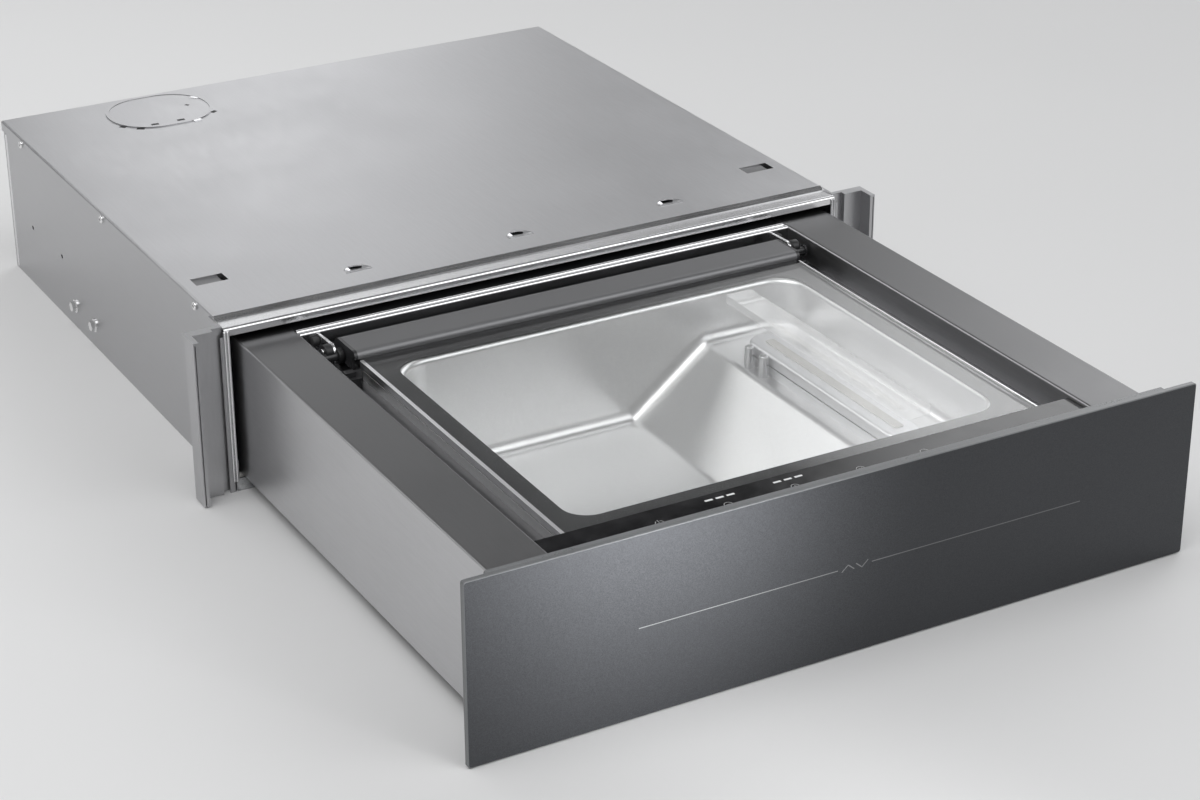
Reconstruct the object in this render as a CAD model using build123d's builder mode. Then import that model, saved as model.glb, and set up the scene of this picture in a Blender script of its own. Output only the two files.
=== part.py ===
from build123d import *
import os

os.makedirs("parts", exist_ok=True)

# Sizes are in millimetres. The origin is at the middle of the casing's lower front edge.
# X runs to the right as seen from the front, Y to the rear and Z up.
# The drawer stands open and its lid is closed.

# Casing
case_width = 557.0
case_depth = 531.0
case_height = 142.0
sheet = 1.0
bend = 1.6
top_fold = 9.0
inner_flange = 8.0
front_flange = 4.5
tray_flange = 28.0
flange_gap = 0.3
fold_round = 0.9

# Front strip of the casing, which steps down from the top to a rounded hem
strip_depth = 22.0
strip_drop = 3.0
strip_slope = 4.0
hem_depth = 6.0
hem_rise = 0.5
hem_groove = 0.6
hem_round = 2.5
hem_thick = 2.0
hem_height = 6.5

# Pressed details of the top panel
pocket_width = 27.0
pocket_length = 14.5
pocket_depth = 3.0
pocket_slot = 4.5
pocket_places = ((-253.5, 91.0), (253.0, 84.5))
louvre_width = 23.0
louvre_length = 11.0
louvre_tilt = 15.0
louvre_y = 49.5
louvre_places = (-143.0, 3.0, 146.0)
oval_x = -143.0
oval_from_rear = 46.0
oval_width = 97.0
oval_length = 85.0
oval_round = 40.0
bead_width = 3.0
bead_height = 0.8
oval_ledge = 2.5
knockout_play = 0.2

# Holes and fasteners of the casing
screw_radius = 1.5
screw_head = 3.5
screw_head_height = 2.0
screw_reach = 5.0
screw_round = 1.2
hole_play = 0.1
side_screw_from_front = (58.4, 267.4)
side_screw_from_rear = 56.3
side_screw_drop = 5.0
rear_screw_x = (-200.0, -70.0, 70.0, 200.0)
bolt_radius = 2.5
bolt_flange = 6.0
bolt_flange_thick = 1.2
bolt_flats = 8.0
bolt_height = 5.0
bolt_reach = 6.5
bolt_y = (313.2, 361.7)
bolt_z = 22.0
fixing_radius = 2.0
fixing_from_rear = (141.0, 63.0)
fixing_z = 59.0

# Cable gland in the rear panel
gland_x = 220.0
gland_z = 110.0
gland_bore = 4.2
gland_radius = 8.0
gland_nut = 11.0
gland_nut_thick = 5.3
gland_round = 1.5
gland_inside = 13.0
gland_outside = 9.0

# Vent slots
vent_length = 30.0
vent_width = 4.0
vent_pitch = 11.0
vent_count = 12
vent_from_rear = (106.0, 266.0)
rear_vent_count = 6
rear_vent_x = (-139.0, 93.0)

# Mounting brackets beside the casing's front
bracket_sheet = 2.0
bracket_leg = 24.0
bracket_step = 9.5
bracket_back = 4.0
bracket_jog = 5.0
bracket_plate = 17.0
bracket_rib = 4.5
bracket_rib_depth = 14.0
bracket_lip = 2.5
bracket_cap = 9.0
bracket_edge = 0.9
bracket_groove = 0.8
bracket_groove_depth = 3.0
bracket_bottom = 1.0
bracket_top_gap = 2.0

# Travel of the drawer, the gap that its buffers keep, and the gap behind it when it is shut
drawer_travel = 427.0
shut_gap = 3.0
rear_gap = 17.0
buffer_radius = 3.0
buffer_round = 0.8
buffer_play = 0.2
buffer_z = 8.0

# Drawer box
drawer_side_gap = 7.3
skirt_bottom = 11.5
cover_drop = 13.5
cover_sheet = 1.2
cover_bend = 1.8
channel_width = 24.7
channel_depth = 21.5
deck_sheet = 1.0
deck_gap = 3.8
tub_play = 1.8
base_sheet = 1.2
base_gap = 4.0
wall_sheet = 1.0

# Drawer from front to rear
panel_depth = 38.5
panel_thick = 4.0
panel_drop = 3.5
lid_gap = 2.0
front_margin = 18.5
rear_margin = 24.7
crossbar_gap = 13.9
crossbar_depth = 10.6
ridge_radius = 2.2
bay_cover_thick = 1.5
bay_cover_drop = 2.0

# Front
glass_overhang = 20.0
glass_thick = 5.0
glass_bottom = 0.7
glass_top_gap = 1.8
glass_edge = 1.0
glass_corner = 1.0
frame_thick = 9.0
frame_inset = 1.0
frame_bottom = 4.5
frame_top_gap = 5.0
frame_corner = 2.0
frame_edge = 0.8

# Control panel
panel_edge = 0.5
light_length = 6.2
light_width = 2.0
light_depth = 0.5
light_proud = 0.1
light_inset = 8.4
light_pitch = 8.7
light_groups = (-81.0, -25.9)
tray_wall = 1.5
board_thick = 1.6
board_inset = 20.0
board_play = 3.0
board_stand = 2.0
stand_radius = 2.5
stand_inset = 4.0
lamp_length = 4.0
lamp_width = 3.0
lamp_height = 2.5
chip_x = 121.0
chip_size = 12.0
side_play = 0.2

# Lid
lid_thick = 7.0
lid_drop = 5.8
lid_border = 1.3
lid_edge = 0.8
lid_corner = 3.0
seal_gap = 0.7
seal_play = 0.1
seal_inset = 1.0
seal_width = 8.0

# Vacuum chamber
chamber_width = 356.0
chamber_length = 285.0
chamber_depth = 94.0
chamber_corner = 28.0
chamber_sheet = 1.2
chamber_flange = 18.5
chamber_front_flange = 16.5
chamber_rear_flange = 20.0
flange_corner = 6.0
rim_round = 0.8
chamber_round = 9.0
chamber_mouth = 4.0
shelf_depth = 41.0
shelf_width = 81.0
ramp_foot = 30.0

# Sealing bar, with the cylinders that lift it against the counter bar
seal_bar_inset = 55.0
seal_bar_width = 30.0
seal_bar_flat = 2.0
seal_bar_edge = 2.5
seal_bar_front_gap = 33.0
seal_bar_rear_gap = 42.0
seal_base_height = 8.0
seal_bar_height = 8.5
seal_bar_play = 1.0
seal_bar_lift = 15.0
strip_width = 8.0
strip_height = 0.8
strip_corner = 1.5
counter_width = 24.0
counter_gap = 0.9
counter_front = 7.0
counter_rear = 32.0
counter_corner = 2.0
counter_round = 1.5
rod_radius = 4.0
rod_play = 0.06
rod_inset = 34.0
rod_below = 27.0
rod_edge = 0.8
cylinder_radius = 11.0
cylinder_height = 30.0
cylinder_floor = 2.0
cylinder_edge = 1.0
contact_radius = 3.7
contact_height = 18.0
contact_gap = 1.1
contact_pitch = 21.0
contact_rear = 59.0
contact_round = 1.2

# Hinge of the lid
hinge_overlap = 5.7
hinge_depth = 38.5
hinge_below = 3.6
hinge_drop = 10.5
hinge_inset = 15.5
hinge_rear_round = 8.0
hinge_front_round = 5.0
hinge_low_round = 2.0
arm_thick = 2.5
pin_radius = 3.5
pin_play = 0.06
pin_head = 1.6
pin_head_radius = 4.7
pin_gap = 0.4
lug_gap = 2.5
lug_width = 15.0
lug_length = 24.0
lug_round = 7.0
trough_wall = 1.0
trough_play = 0.7
trough_reach = 2.0
trough_back = 3.5
trough_depth = 19.0
trough_lip = 4.0
trough_lip_thick = 0.6

# Switch that feels whether the lid is down
switch_length = 14.0
switch_ahead = 2.0
switch_play = 1.2
switch_below = 1.0
switch_round = 2.0
switch_button_inset = 4.0
switch_button_height = 4.0

# Slides
rail_inset = 24.5
rail_half = 12.0
rail_lip = 4.0
rail_sheet = 1.5
rail_bend = 2.0
rail_front = 4.0
rail_rear_gap = 39.0
rail_height = 12.0
rail_gap = 2.5
rail_play = 0.7
rail_web = 3.0
race_round = 1.5
groove_radius = 2.6
guide_radius = 4.0
guide_play = 0.5
guide_length = 9.0
guide_edge = 0.8
guide_y = 9.2
tab_height = 10.0

# Pump, motor and fan beneath the shelf
pump_offset = 70.0
pump_z = 42.0
pump_radius = 26.0
pump_rear = 122.0
pump_length = 96.0
pump_edge = 3.0
pump_grooves = (29.0, 48.0, 67.0)
pump_groove_width = 4.0
pump_groove_depth = 2.0
pump_port = 4.0
motor_radius = 25.0
motor_length = 118.0
motor_flutes = 16
flute_depth = 1.5
flute_width = 2.4
shaft_radius = 3.0
shaft_play = 0.05
shaft_stub = 24.0
shaft_hole = 86.0
shaft_end_gap = 2.0
shaft_edge = 0.6
fan_radius = 22.0
fan_length = 14.0
fan_gap = 4.0
fan_hub = 7.0
fan_blades = 9
fan_blade_thick = 1.6
fan_blade_turn = 14.0
fan_blade_root = 1.0
cradle_sheet = 2.0
cradle_margin = 4.0
cradle_end = 6.0
saddle_half = 20.8
saddle_drop = 10.0
saddle_thick = 8.0
saddle_inset = 14.0
saddle_play = 0.05
hose_radius = 4.5
hose_bore = 3.0
hose_bend = 14.0
hose_forward = 26.0
hose_above_shaft = 14.0
hose_port_drop = 22.0
hose_port_inset = 34.0

# Latch that pushes the shut drawer open
latch_z = 56.0
latch_half = 15.0
latch_half_height = 11.0
latch_round = 3.0
latch_wall = 1.5
latch_reach = 34.0
latch_room = 5.0
plunger_radius = 5.0
plunger_play = 0.1
plunger_reach = 4.0
plunger_length = 29.0
plunger_round = 1.5
spring_radius = 3.4
spring_wire = 1.0
spring_turns = 6
striker_play = 0.5
pocket_wall = 1.2

# Compartment behind the chamber
transformer_x = -150.0
transformer_width = 80.0
transformer_length = 54.0
transformer_height = 58.0
core_limb = 12.0
core_window = 10.0
winding_proud = 6.0
winding_play = 1.0
power_board_x = 100.0
power_board_width = 110.0
power_board_length = 64.0
power_stand = 8.0
power_stand_radius = 3.0
power_stand_inset = 5.0
capacitor_places = ((-30.0, -12.0), (-12.0, -12.0))
capacitor_radius = 7.0
capacitor_height = 24.0
relay_places = ((20.0, -10.0), (20.0, 14.0))
relay_length = 26.0
relay_width = 16.0
relay_height = 16.0
valve_x = 190.0
valve_width = 28.0
valve_length = 34.0
valve_height = 30.0
coil_radius = 9.0
coil_height = 10.0
valve_port_radius = 4.0
valve_port_length = 8.0

# Places worked out from the sizes above: across
half_case = case_width / 2
web_out = half_case - sheet
web_in = web_out - sheet
half_drawer = web_in - drawer_side_gap
half_chamber = chamber_width / 2
half_flange = half_chamber + chamber_flange
half_lid = half_flange + lid_border
cover_in = half_lid + channel_width
rail_x = web_in - rail_inset
half_base = rail_x - rail_half - base_gap
half_deck = half_base - base_sheet - deck_gap
half_frame = half_case - frame_inset
half_glass = half_case + glass_overhang
half_panel = cover_in - side_play
seal_bar_x = half_chamber - seal_bar_inset
ramp_head = half_chamber - shelf_width
hose_port_x = half_chamber - hose_port_inset
pump_x = seal_bar_x + pump_offset
arm_in = half_lid + side_play
arm_out = arm_in + arm_thick
lug_in = arm_out + lug_gap
lug_out = lug_in + lug_width

# Places along the depth
rear_in = case_depth - 2 * sheet
rear_out = case_depth - sheet
side_screw_y = (*side_screw_from_front, case_depth - side_screw_from_rear)
fixing_y = [case_depth - distance for distance in fixing_from_rear]
oval_y = case_depth - oval_from_rear
rail_length = case_depth - rail_front - rail_rear_gap
drawer_rear = case_depth - rear_gap - drawer_travel
frame_rear = -(shut_gap + drawer_travel)
frame_front = frame_rear - frame_thick
panel_rear = frame_rear + panel_depth
lid_front = panel_rear + lid_gap
chamber_front = lid_front + front_margin
chamber_rear = chamber_front + chamber_length
chamber_y = (chamber_front + chamber_rear) / 2
lid_rear = chamber_rear + rear_margin
hinge_front = lid_rear - hinge_overlap
hinge_rear = hinge_front + hinge_depth
hinge_y = hinge_rear - hinge_inset
crossbar_front = hinge_rear + crossbar_gap
crossbar_rear = crossbar_front + crossbar_depth
seal_bar_front = chamber_front + seal_bar_front_gap
seal_bar_end = chamber_rear - seal_bar_rear_gap
seal_bar_length = seal_bar_end - seal_bar_front
seal_bar_y = (seal_bar_front + seal_bar_end) / 2
rod_places = [(seal_bar_x, seal_bar_front + rod_inset), (seal_bar_x, seal_bar_end - rod_inset)]
pump_front = chamber_rear - pump_rear - pump_length
motor_front = pump_front + pump_length
motor_rear = motor_front + motor_length
latch_front = drawer_rear + drawer_travel - latch_reach
plunger_front = latch_front - plunger_reach
striker_rear = plunger_front - striker_play - drawer_travel

# Heights
side_screw_z = case_height - side_screw_drop
strip_z = case_height - strip_drop
hem_top = strip_z + hem_rise
hem_bottom = hem_top - hem_height
cover_top = case_height - cover_drop
deck_top = cover_top - channel_depth
panel_top = cover_top - panel_drop
panel_bottom = panel_top - panel_thick
lid_top = cover_top - lid_drop
lid_under = lid_top - lid_thick
rim_top = lid_under - seal_gap
chamber_floor = rim_top - chamber_depth
shelf_top = rim_top - shelf_depth
shelf_under = shelf_top - chamber_sheet
seal_base_top = shelf_top + seal_base_height
seal_bar_bottom = seal_base_top + seal_bar_play
seal_bar_top = seal_bar_bottom + seal_bar_height
strip_top = seal_bar_top + strip_height
counter_bottom = strip_top + seal_bar_lift + counter_gap
hose_z = pump_z + hose_above_shaft
hose_port_z = rim_top - hose_port_drop
hinge_z = cover_top - hinge_drop
hinge_bottom = lid_under - hinge_below
floor_top = skirt_bottom + base_sheet
rail_floor = sheet + rail_sheet
rail_top = rail_floor + rail_height
inner_rail_bottom = rail_top + rail_gap
inner_rail_top = inner_rail_bottom + rail_height
frame_top = case_height - frame_top_gap
glass_top = case_height - glass_top_gap
bracket_top = case_height - bracket_top_gap
bay_cover_top = cover_top - bay_cover_drop
bay_cover_bottom = bay_cover_top - bay_cover_thick


def block(x, y, z, mode=Mode.ADD):
    """A box between two limits on each axis, in either order."""
    centre = [(pair[0] + pair[1]) / 2 for pair in (x, y, z)]
    size = [abs(pair[1] - pair[0]) for pair in (x, y, z)]
    with Locations(tuple(centre)):
        Box(*size, mode=mode)


def mirrored(x):
    """The same place on the left and on the right."""
    return (-x, x)


# Casing

with BuildPart() as bottom_panel:
    with BuildSketch(Plane.XZ.offset(-rear_in)):
        with BuildLine():
            FilletPolyline(
                (-web_in, tray_flange), (-web_in, 0), (web_in, 0), (web_in, tray_flange), radius=bend
            )
            offset(amount=sheet, side=Side.LEFT)
        make_face()
    extrude(amount=rear_in)
    with BuildSketch(Plane.XY):
        with GridLocations(vent_pitch, 0, vent_count, 1):
            with Locations(*[(0, case_depth - distance) for distance in vent_from_rear]):
                SlotOverall(vent_length, vent_width, rotation=90)
    extrude(amount=sheet, mode=Mode.SUBTRACT)
    with BuildSketch(Plane.YZ.offset(-half_case)):
        with Locations(*[(y, bolt_z) for y in bolt_y]):
            Circle(bolt_radius + hole_play)
    extrude(amount=case_width, mode=Mode.SUBTRACT)
bottom_panel.part.label = "bottom_panel"
export_step(bottom_panel.part, "parts/bottom_panel.step")

with BuildPart() as right_side_panel:
    # The web with a flange turned out at the front and one turned in at the rear
    mid = sheet / 2
    with BuildSketch(Plane.XY):
        with BuildLine():
            FilletPolyline(
                (half_case + front_flange - sheet, mid),
                (web_in + mid, mid),
                (web_in + mid, case_depth - mid),
                (web_in - inner_flange, case_depth - mid),
                radius=bend,
            )
        trace(line_width=sheet)
    extrude(amount=case_height - sheet)
    block(
        (web_in - inner_flange, web_in + mid),
        (strip_depth + sheet, rear_in),
        (case_height - 2 * sheet, case_height - sheet),
    )
    outer_edges = right_side_panel.edges().filter_by_position(Axis.X, web_out - 0.1, web_out + 0.1)
    fillet(outer_edges.filter_by(Axis.Y).group_by(Axis.Z)[-1], radius=fold_round)
    # Room for the front strip and its hem
    strip_under = strip_z - sheet - flange_gap
    block(
        (web_in - inner_flange, half_case + front_flange),
        (-sheet, strip_depth + sheet),
        (strip_under, case_height),
        mode=Mode.SUBTRACT,
    )
    block(
        (web_in - inner_flange, half_case + front_flange),
        (-sheet, hem_thick + flange_gap),
        (hem_bottom - flange_gap, case_height),
        mode=Mode.SUBTRACT,
    )
    with BuildSketch(Plane.YZ.offset(web_in - sheet)):
        with Locations(*[(y, side_screw_z) for y in side_screw_y]):
            Circle(screw_radius + hole_play)
        with Locations(*[(y, bolt_z) for y in bolt_y]):
            Circle(bolt_radius + hole_play)
        with Locations(*[(y, fixing_z) for y in fixing_y]):
            Circle(fixing_radius)
    extrude(amount=3 * sheet, mode=Mode.SUBTRACT)
right_side_panel.part.label = "right_side_panel"
export_step(right_side_panel.part, "parts/right_side_panel.step")

with BuildPart() as left_side_panel:
    mirror(right_side_panel.part, about=Plane.YZ)
left_side_panel.part.label = "left_side_panel"
export_step(left_side_panel.part, "parts/left_side_panel.step")

with BuildPart() as top_panel:
    with BuildSketch(Plane.XZ.offset(-case_depth)):
        with BuildLine():
            FilletPolyline(
                (-half_case, case_height - top_fold),
                (-half_case, case_height),
                (half_case, case_height),
                (half_case, case_height - top_fold),
                radius=bend,
            )
            offset(amount=sheet, side=Side.RIGHT)
        make_face()
    extrude(amount=case_depth - strip_depth)
    block(
        mirrored(web_in - inner_flange - flange_gap),
        (rear_out, case_depth),
        (case_height - top_fold, case_height - sheet),
    )
    # Two sunk pockets with a slot at their right end
    for x, y in pocket_places:
        pocket_x = (x - pocket_width / 2, x + pocket_width / 2)
        pocket_y = (y - pocket_length / 2, y + pocket_length / 2)
        block(
            (pocket_x[0] - sheet, pocket_x[1] + sheet),
            (pocket_y[0] - sheet, pocket_y[1] + sheet),
            (case_height - pocket_depth - sheet, case_height - sheet / 2),
        )
        block(pocket_x, pocket_y, (case_height - pocket_depth, case_height), mode=Mode.SUBTRACT)
        block(
            (pocket_x[1] - pocket_slot, pocket_x[1]),
            pocket_y,
            (case_height - pocket_depth - sheet, case_height),
            mode=Mode.SUBTRACT,
        )
    # Half-moon louvres, each cut along its curved rear edge and bent down there
    for x in louvre_places:
        with BuildSketch(Plane.XY.offset(case_height - sheet)):
            with Locations((x, louvre_y)):
                Ellipse(louvre_width / 2, louvre_length)
                Rectangle(
                    louvre_width, louvre_length, align=(Align.CENTER, Align.MAX), mode=Mode.SUBTRACT
                )
        extrude(amount=sheet, mode=Mode.SUBTRACT)
        tab = Plane(origin=(x, louvre_y, case_height - sheet), z_dir=(0, 0, 1)).rotated(
            (-louvre_tilt, 0, 0)
        )
        with BuildSketch(tab):
            Ellipse(louvre_width / 2 - flange_gap, louvre_length - flange_gap)
            Rectangle(
                louvre_width, louvre_length, align=(Align.CENTER, Align.MAX), mode=Mode.SUBTRACT
            )
            with Locations((0, -sheet)):
                Rectangle(louvre_width - 2 * flange_gap, 2 * sheet)
        extrude(amount=sheet)
    # Oval opening with a bead round it
    with BuildSketch(Plane.XY.offset(case_height - sheet / 2)):
        with Locations((oval_x, oval_y)):
            RectangleRounded(oval_width, oval_length, oval_round)
            RectangleRounded(
                oval_width - 2 * bead_width,
                oval_length - 2 * bead_width,
                oval_round - bead_width,
                mode=Mode.SUBTRACT,
            )
    extrude(amount=sheet / 2 + bead_height)
    oval_cut = bead_width + oval_ledge
    with BuildSketch(Plane.XY.offset(case_height - sheet)):
        with Locations((oval_x, oval_y)):
            RectangleRounded(
                oval_width - 2 * oval_cut, oval_length - 2 * oval_cut, oval_round - oval_cut
            )
    extrude(amount=sheet + bead_height, mode=Mode.SUBTRACT)
    with BuildSketch(Plane.YZ.offset(-half_case)):
        with Locations(*[(y, side_screw_z) for y in side_screw_y]):
            Circle(screw_radius + hole_play)
    extrude(amount=case_width, mode=Mode.SUBTRACT)
    with BuildSketch(Plane.XZ.offset(-case_depth)):
        with Locations(*[(x, side_screw_z) for x in rear_screw_x]):
            Circle(screw_radius + hole_play)
    extrude(amount=sheet, mode=Mode.SUBTRACT)
top_panel.part.label = "top_panel"
export_step(top_panel.part, "parts/top_panel.step")

with BuildPart() as knockout_cover:
    # A plate on the ledge inside the bead, with a rim down into the opening
    plate_inset = bead_width + knockout_play
    rim_inset = oval_cut + knockout_play
    with BuildSketch(Plane.XY.offset(case_height)):
        with Locations((oval_x, oval_y)):
            RectangleRounded(
                oval_width - 2 * plate_inset, oval_length - 2 * plate_inset, oval_round - plate_inset
            )
    extrude(amount=bead_height / 2)
    with BuildSketch(Plane.XY.offset(case_height - sheet)):
        with Locations((oval_x, oval_y)):
            RectangleRounded(
                oval_width - 2 * rim_inset, oval_length - 2 * rim_inset, oval_round - rim_inset
            )
    extrude(amount=sheet)
knockout_cover.part.label = "knockout_cover"
export_step(knockout_cover.part, "parts/knockout_cover.step")

with BuildPart() as front_trim:
    with BuildSketch(Plane.YZ.offset(-half_case)):
        with BuildLine():
            hem = FilletPolyline(
                (hem_depth, hem_top), (0, hem_top), (0, hem_bottom), radius=hem_round
            )
            Polyline(
                hem @ 1,
                (hem_thick, hem_bottom),
                (hem_thick, strip_z - sheet),
                (strip_depth - strip_slope, strip_z - sheet),
                (strip_depth - sheet, case_height - 2 * sheet),
                (strip_depth, case_height - 2 * sheet),
                (strip_depth, case_height),
                (strip_depth - strip_slope, strip_z),
                (hem_depth + hem_groove, strip_z),
                (hem_depth + hem_groove, strip_z - hem_rise),
                (hem_depth, strip_z - hem_rise),
                hem @ 0,
            )
        make_face()
    extrude(amount=case_width)
    # A flange that passes beneath the top panel
    block(
        mirrored(web_in - inner_flange - flange_gap),
        (strip_depth - sheet, strip_depth + inner_flange),
        (case_height - 2 * sheet, case_height - sheet),
    )
front_trim.part.label = "front_trim"
export_step(front_trim.part, "parts/front_trim.step")

with BuildPart() as rear_panel:
    with BuildSketch(Plane.XZ.offset(-rear_out)):
        with Locations((0, (case_height - 2 * sheet) / 2)):
            Rectangle(2 * (web_in - bend), case_height - 2 * sheet)
        with Locations(*[(x, case_height / 2) for x in rear_vent_x]):
            with GridLocations(vent_pitch, 0, rear_vent_count, 1):
                SlotOverall(vent_length, vent_width, rotation=90, mode=Mode.SUBTRACT)
        with Locations((gland_x, gland_z)):
            Circle(gland_radius + hole_play, mode=Mode.SUBTRACT)
        with Locations(*[(x, side_screw_z) for x in rear_screw_x]):
            Circle(screw_radius + hole_play, mode=Mode.SUBTRACT)
    extrude(amount=sheet)
rear_panel.part.label = "rear_panel"
export_step(rear_panel.part, "parts/rear_panel.step")

with BuildPart() as cable_gland:
    gland_front = rear_in - gland_inside
    gland_length = gland_inside + sheet + gland_outside
    with BuildSketch(Plane.XZ.offset(-gland_front)):
        with Locations((gland_x, gland_z)):
            Circle(gland_radius)
    extrude(amount=-gland_length)
    with BuildSketch(Plane.XZ.offset(-rear_out)):
        with Locations((gland_x, gland_z)):
            RegularPolygon(gland_nut, 6)
    extrude(amount=-gland_nut_thick)
    with BuildSketch(Plane.XZ.offset(-rear_in)):
        with Locations((gland_x, gland_z)):
            RegularPolygon(gland_nut, 6)
    extrude(amount=gland_nut_thick)
    fillet(cable_gland.edges().filter_by(GeomType.CIRCLE).group_by(Axis.Y)[-1], radius=gland_round)
    with BuildSketch(Plane.XZ.offset(-gland_front)):
        with Locations((gland_x, gland_z)):
            Circle(gland_bore)
    extrude(amount=-gland_length, mode=Mode.SUBTRACT)
cable_gland.part.label = "cable_gland"
export_step(cable_gland.part, "parts/cable_gland.step")

with BuildPart() as right_mounting_bracket:
    # Seen from above: a leg along the casing, a step, a plate and a deep outer rib with a groove
    step_x = half_case + bracket_step
    plate_front = bracket_back - bracket_jog
    rib_x = step_x + bracket_plate
    rib_out = rib_x + bracket_rib
    rib_front = plate_front - bracket_rib_depth
    groove_out = rib_out - bracket_edge
    groove_in = groove_out - bracket_groove
    with BuildSketch(Plane.XY.offset(bracket_bottom)):
        with BuildLine():
            Polyline(
                (half_case, bracket_back + bracket_leg),
                (half_case, bracket_back),
                (step_x, bracket_back),
                (step_x, plate_front),
                (rib_x, plate_front),
                (rib_x, rib_front),
                (groove_in, rib_front),
                (groove_in, rib_front + bracket_groove_depth),
                (groove_out, rib_front + bracket_groove_depth),
                (groove_out, rib_front),
                (rib_out, rib_front),
                (rib_out, plate_front + bracket_sheet + bracket_lip),
                (rib_x + bracket_lip, plate_front + bracket_sheet + bracket_lip),
                (rib_x + bracket_lip, plate_front + bracket_sheet),
                (step_x + bracket_sheet, plate_front + bracket_sheet),
                (step_x + bracket_sheet, bracket_back + bracket_sheet),
                (half_case + bracket_sheet, bracket_back + bracket_sheet),
                (half_case + bracket_sheet, bracket_back + bracket_leg),
                close=True,
            )
        make_face()
    extrude(amount=bracket_top - bracket_bottom)
    # A flat cap closes its top, from the casing to the outer side of the rib
    with BuildSketch(Plane.XY.offset(bracket_top)):
        with BuildLine():
            Polyline(
                (half_case, bracket_back),
                (step_x, bracket_back),
                (step_x, plate_front),
                (rib_x, plate_front),
                (rib_x, rib_front),
                (rib_out, rib_front),
                (rib_out, plate_front + bracket_cap),
                (half_case, plate_front + bracket_cap),
                close=True,
            )
        make_face()
    extrude(amount=-bracket_sheet)
right_mounting_bracket.part.label = "right_mounting_bracket"
export_step(right_mounting_bracket.part, "parts/right_mounting_bracket.step")

with BuildPart() as left_mounting_bracket:
    mirror(right_mounting_bracket.part, about=Plane.YZ)
left_mounting_bracket.part.label = "left_mounting_bracket"
export_step(left_mounting_bracket.part, "parts/left_mounting_bracket.step")

with BuildPart() as casing_screws:
    # Pan heads outside the folds of the top panel, shanks through them and the panels within
    for side in (-1, 1):
        places = [(y, side_screw_z) for y in side_screw_y]
        with BuildSketch(Plane.YZ.offset(side * half_case)):
            with Locations(*places):
                Circle(screw_head)
        extrude(amount=side * screw_head_height)
        with BuildSketch(Plane.YZ.offset(side * half_case)):
            with Locations(*places):
                Circle(screw_radius)
        extrude(amount=-side * screw_reach)
    with BuildSketch(Plane.XZ.offset(-case_depth)):
        with Locations(*[(x, side_screw_z) for x in rear_screw_x]):
            Circle(screw_head)
    extrude(amount=-screw_head_height)
    with BuildSketch(Plane.XZ.offset(-case_depth)):
        with Locations(*[(x, side_screw_z) for x in rear_screw_x]):
            Circle(screw_radius)
    extrude(amount=screw_reach)
    heads = casing_screws.edges().filter_by(GeomType.CIRCLE)
    outer_heads = heads.group_by(Axis.X)[0] + heads.group_by(Axis.X)[-1] + heads.group_by(Axis.Y)[-1]
    fillet(outer_heads, radius=screw_round)
casing_screws.part.label = "casing_screws"
export_step(casing_screws.part, "parts/casing_screws.step")

with BuildPart() as slide_bolts:
    for side in (-1, 1):
        places = [(y, bolt_z) for y in bolt_y]
        with BuildSketch(Plane.YZ.offset(side * web_out)):
            with Locations(*places):
                Circle(bolt_flange)
        extrude(amount=side * bolt_flange_thick)
        with BuildSketch(Plane.YZ.offset(side * web_out)):
            with Locations(*places):
                RegularPolygon(bolt_flats / 2, 6, major_radius=False)
        extrude(amount=side * bolt_height)
        with BuildSketch(Plane.YZ.offset(side * web_out)):
            with Locations(*places):
                Circle(bolt_radius)
        extrude(amount=-side * bolt_reach)
slide_bolts.part.label = "slide_bolts"
export_step(slide_bolts.part, "parts/slide_bolts.step")

# Slides

leg_out = web_in - sheet
leg_in = leg_out - rail_sheet
slide_rear = rail_front + rail_length + rail_front
tab_x = (rail_x + rail_half + flange_gap, leg_in + flange_gap)

with BuildPart() as slide_brackets:
    for side in (-1, 1):
        with BuildSketch(Plane.XZ.offset(-slide_rear)):
            with BuildLine():
                FilletPolyline(
                    (side * leg_out, tray_flange - sheet),
                    (side * leg_out, sheet),
                    (side * (rail_x - rail_half), sheet),
                    radius=rail_bend,
                )
                offset(amount=rail_sheet, side=Side.RIGHT if side > 0 else Side.LEFT)
            make_face()
        extrude(amount=slide_rear)
        side_tab = (side * tab_x[0], side * tab_x[1])
        block(side_tab, (0, rail_sheet), (rail_floor - flange_gap, sheet + tab_height))
    with BuildSketch(Plane.YZ.offset(-half_case)):
        with Locations(*[(y, bolt_z) for y in bolt_y]):
            Circle(bolt_radius + hole_play)
    extrude(amount=case_width, mode=Mode.SUBTRACT)
slide_brackets.part.label = "slide_brackets"
export_step(slide_brackets.part, "parts/slide_brackets.step")

with BuildPart() as slide_guides:
    # Round nylon bosses that steady the sides of the drawer
    for side in (-1, 1):
        with BuildSketch(Plane.YZ.offset(side * leg_in)):
            with Locations((guide_y, rail_floor + guide_radius + guide_play)):
                Circle(guide_radius)
        extrude(amount=-side * guide_length)
    ends = slide_guides.edges().filter_by(GeomType.CIRCLE)
    chamfer(ends.group_by(lambda edge: abs(edge.center().X))[0], length=guide_edge)
slide_guides.part.label = "slide_guides"
export_step(slide_guides.part, "parts/slide_guides.step")

with BuildPart() as outer_rails:
    for side in (-1, 1):
        x = side * rail_x
        with BuildSketch(Plane.XZ.offset(-(rail_front + rail_length))):
            with BuildLine():
                FilletPolyline(
                    (x - rail_half + rail_lip, rail_top),
                    (x - rail_half, rail_top),
                    (x - rail_half, rail_floor),
                    (x + rail_half, rail_floor),
                    (x + rail_half, rail_top),
                    (x + rail_half - rail_lip, rail_top),
                    radius=rail_bend,
                )
                offset(amount=rail_sheet, side=Side.LEFT)
            make_face()
        extrude(amount=rail_length)
outer_rails.part.label = "outer_rails"
export_step(outer_rails.part, "parts/outer_rails.step")

inner_rail_front = rail_front - drawer_travel

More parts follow.
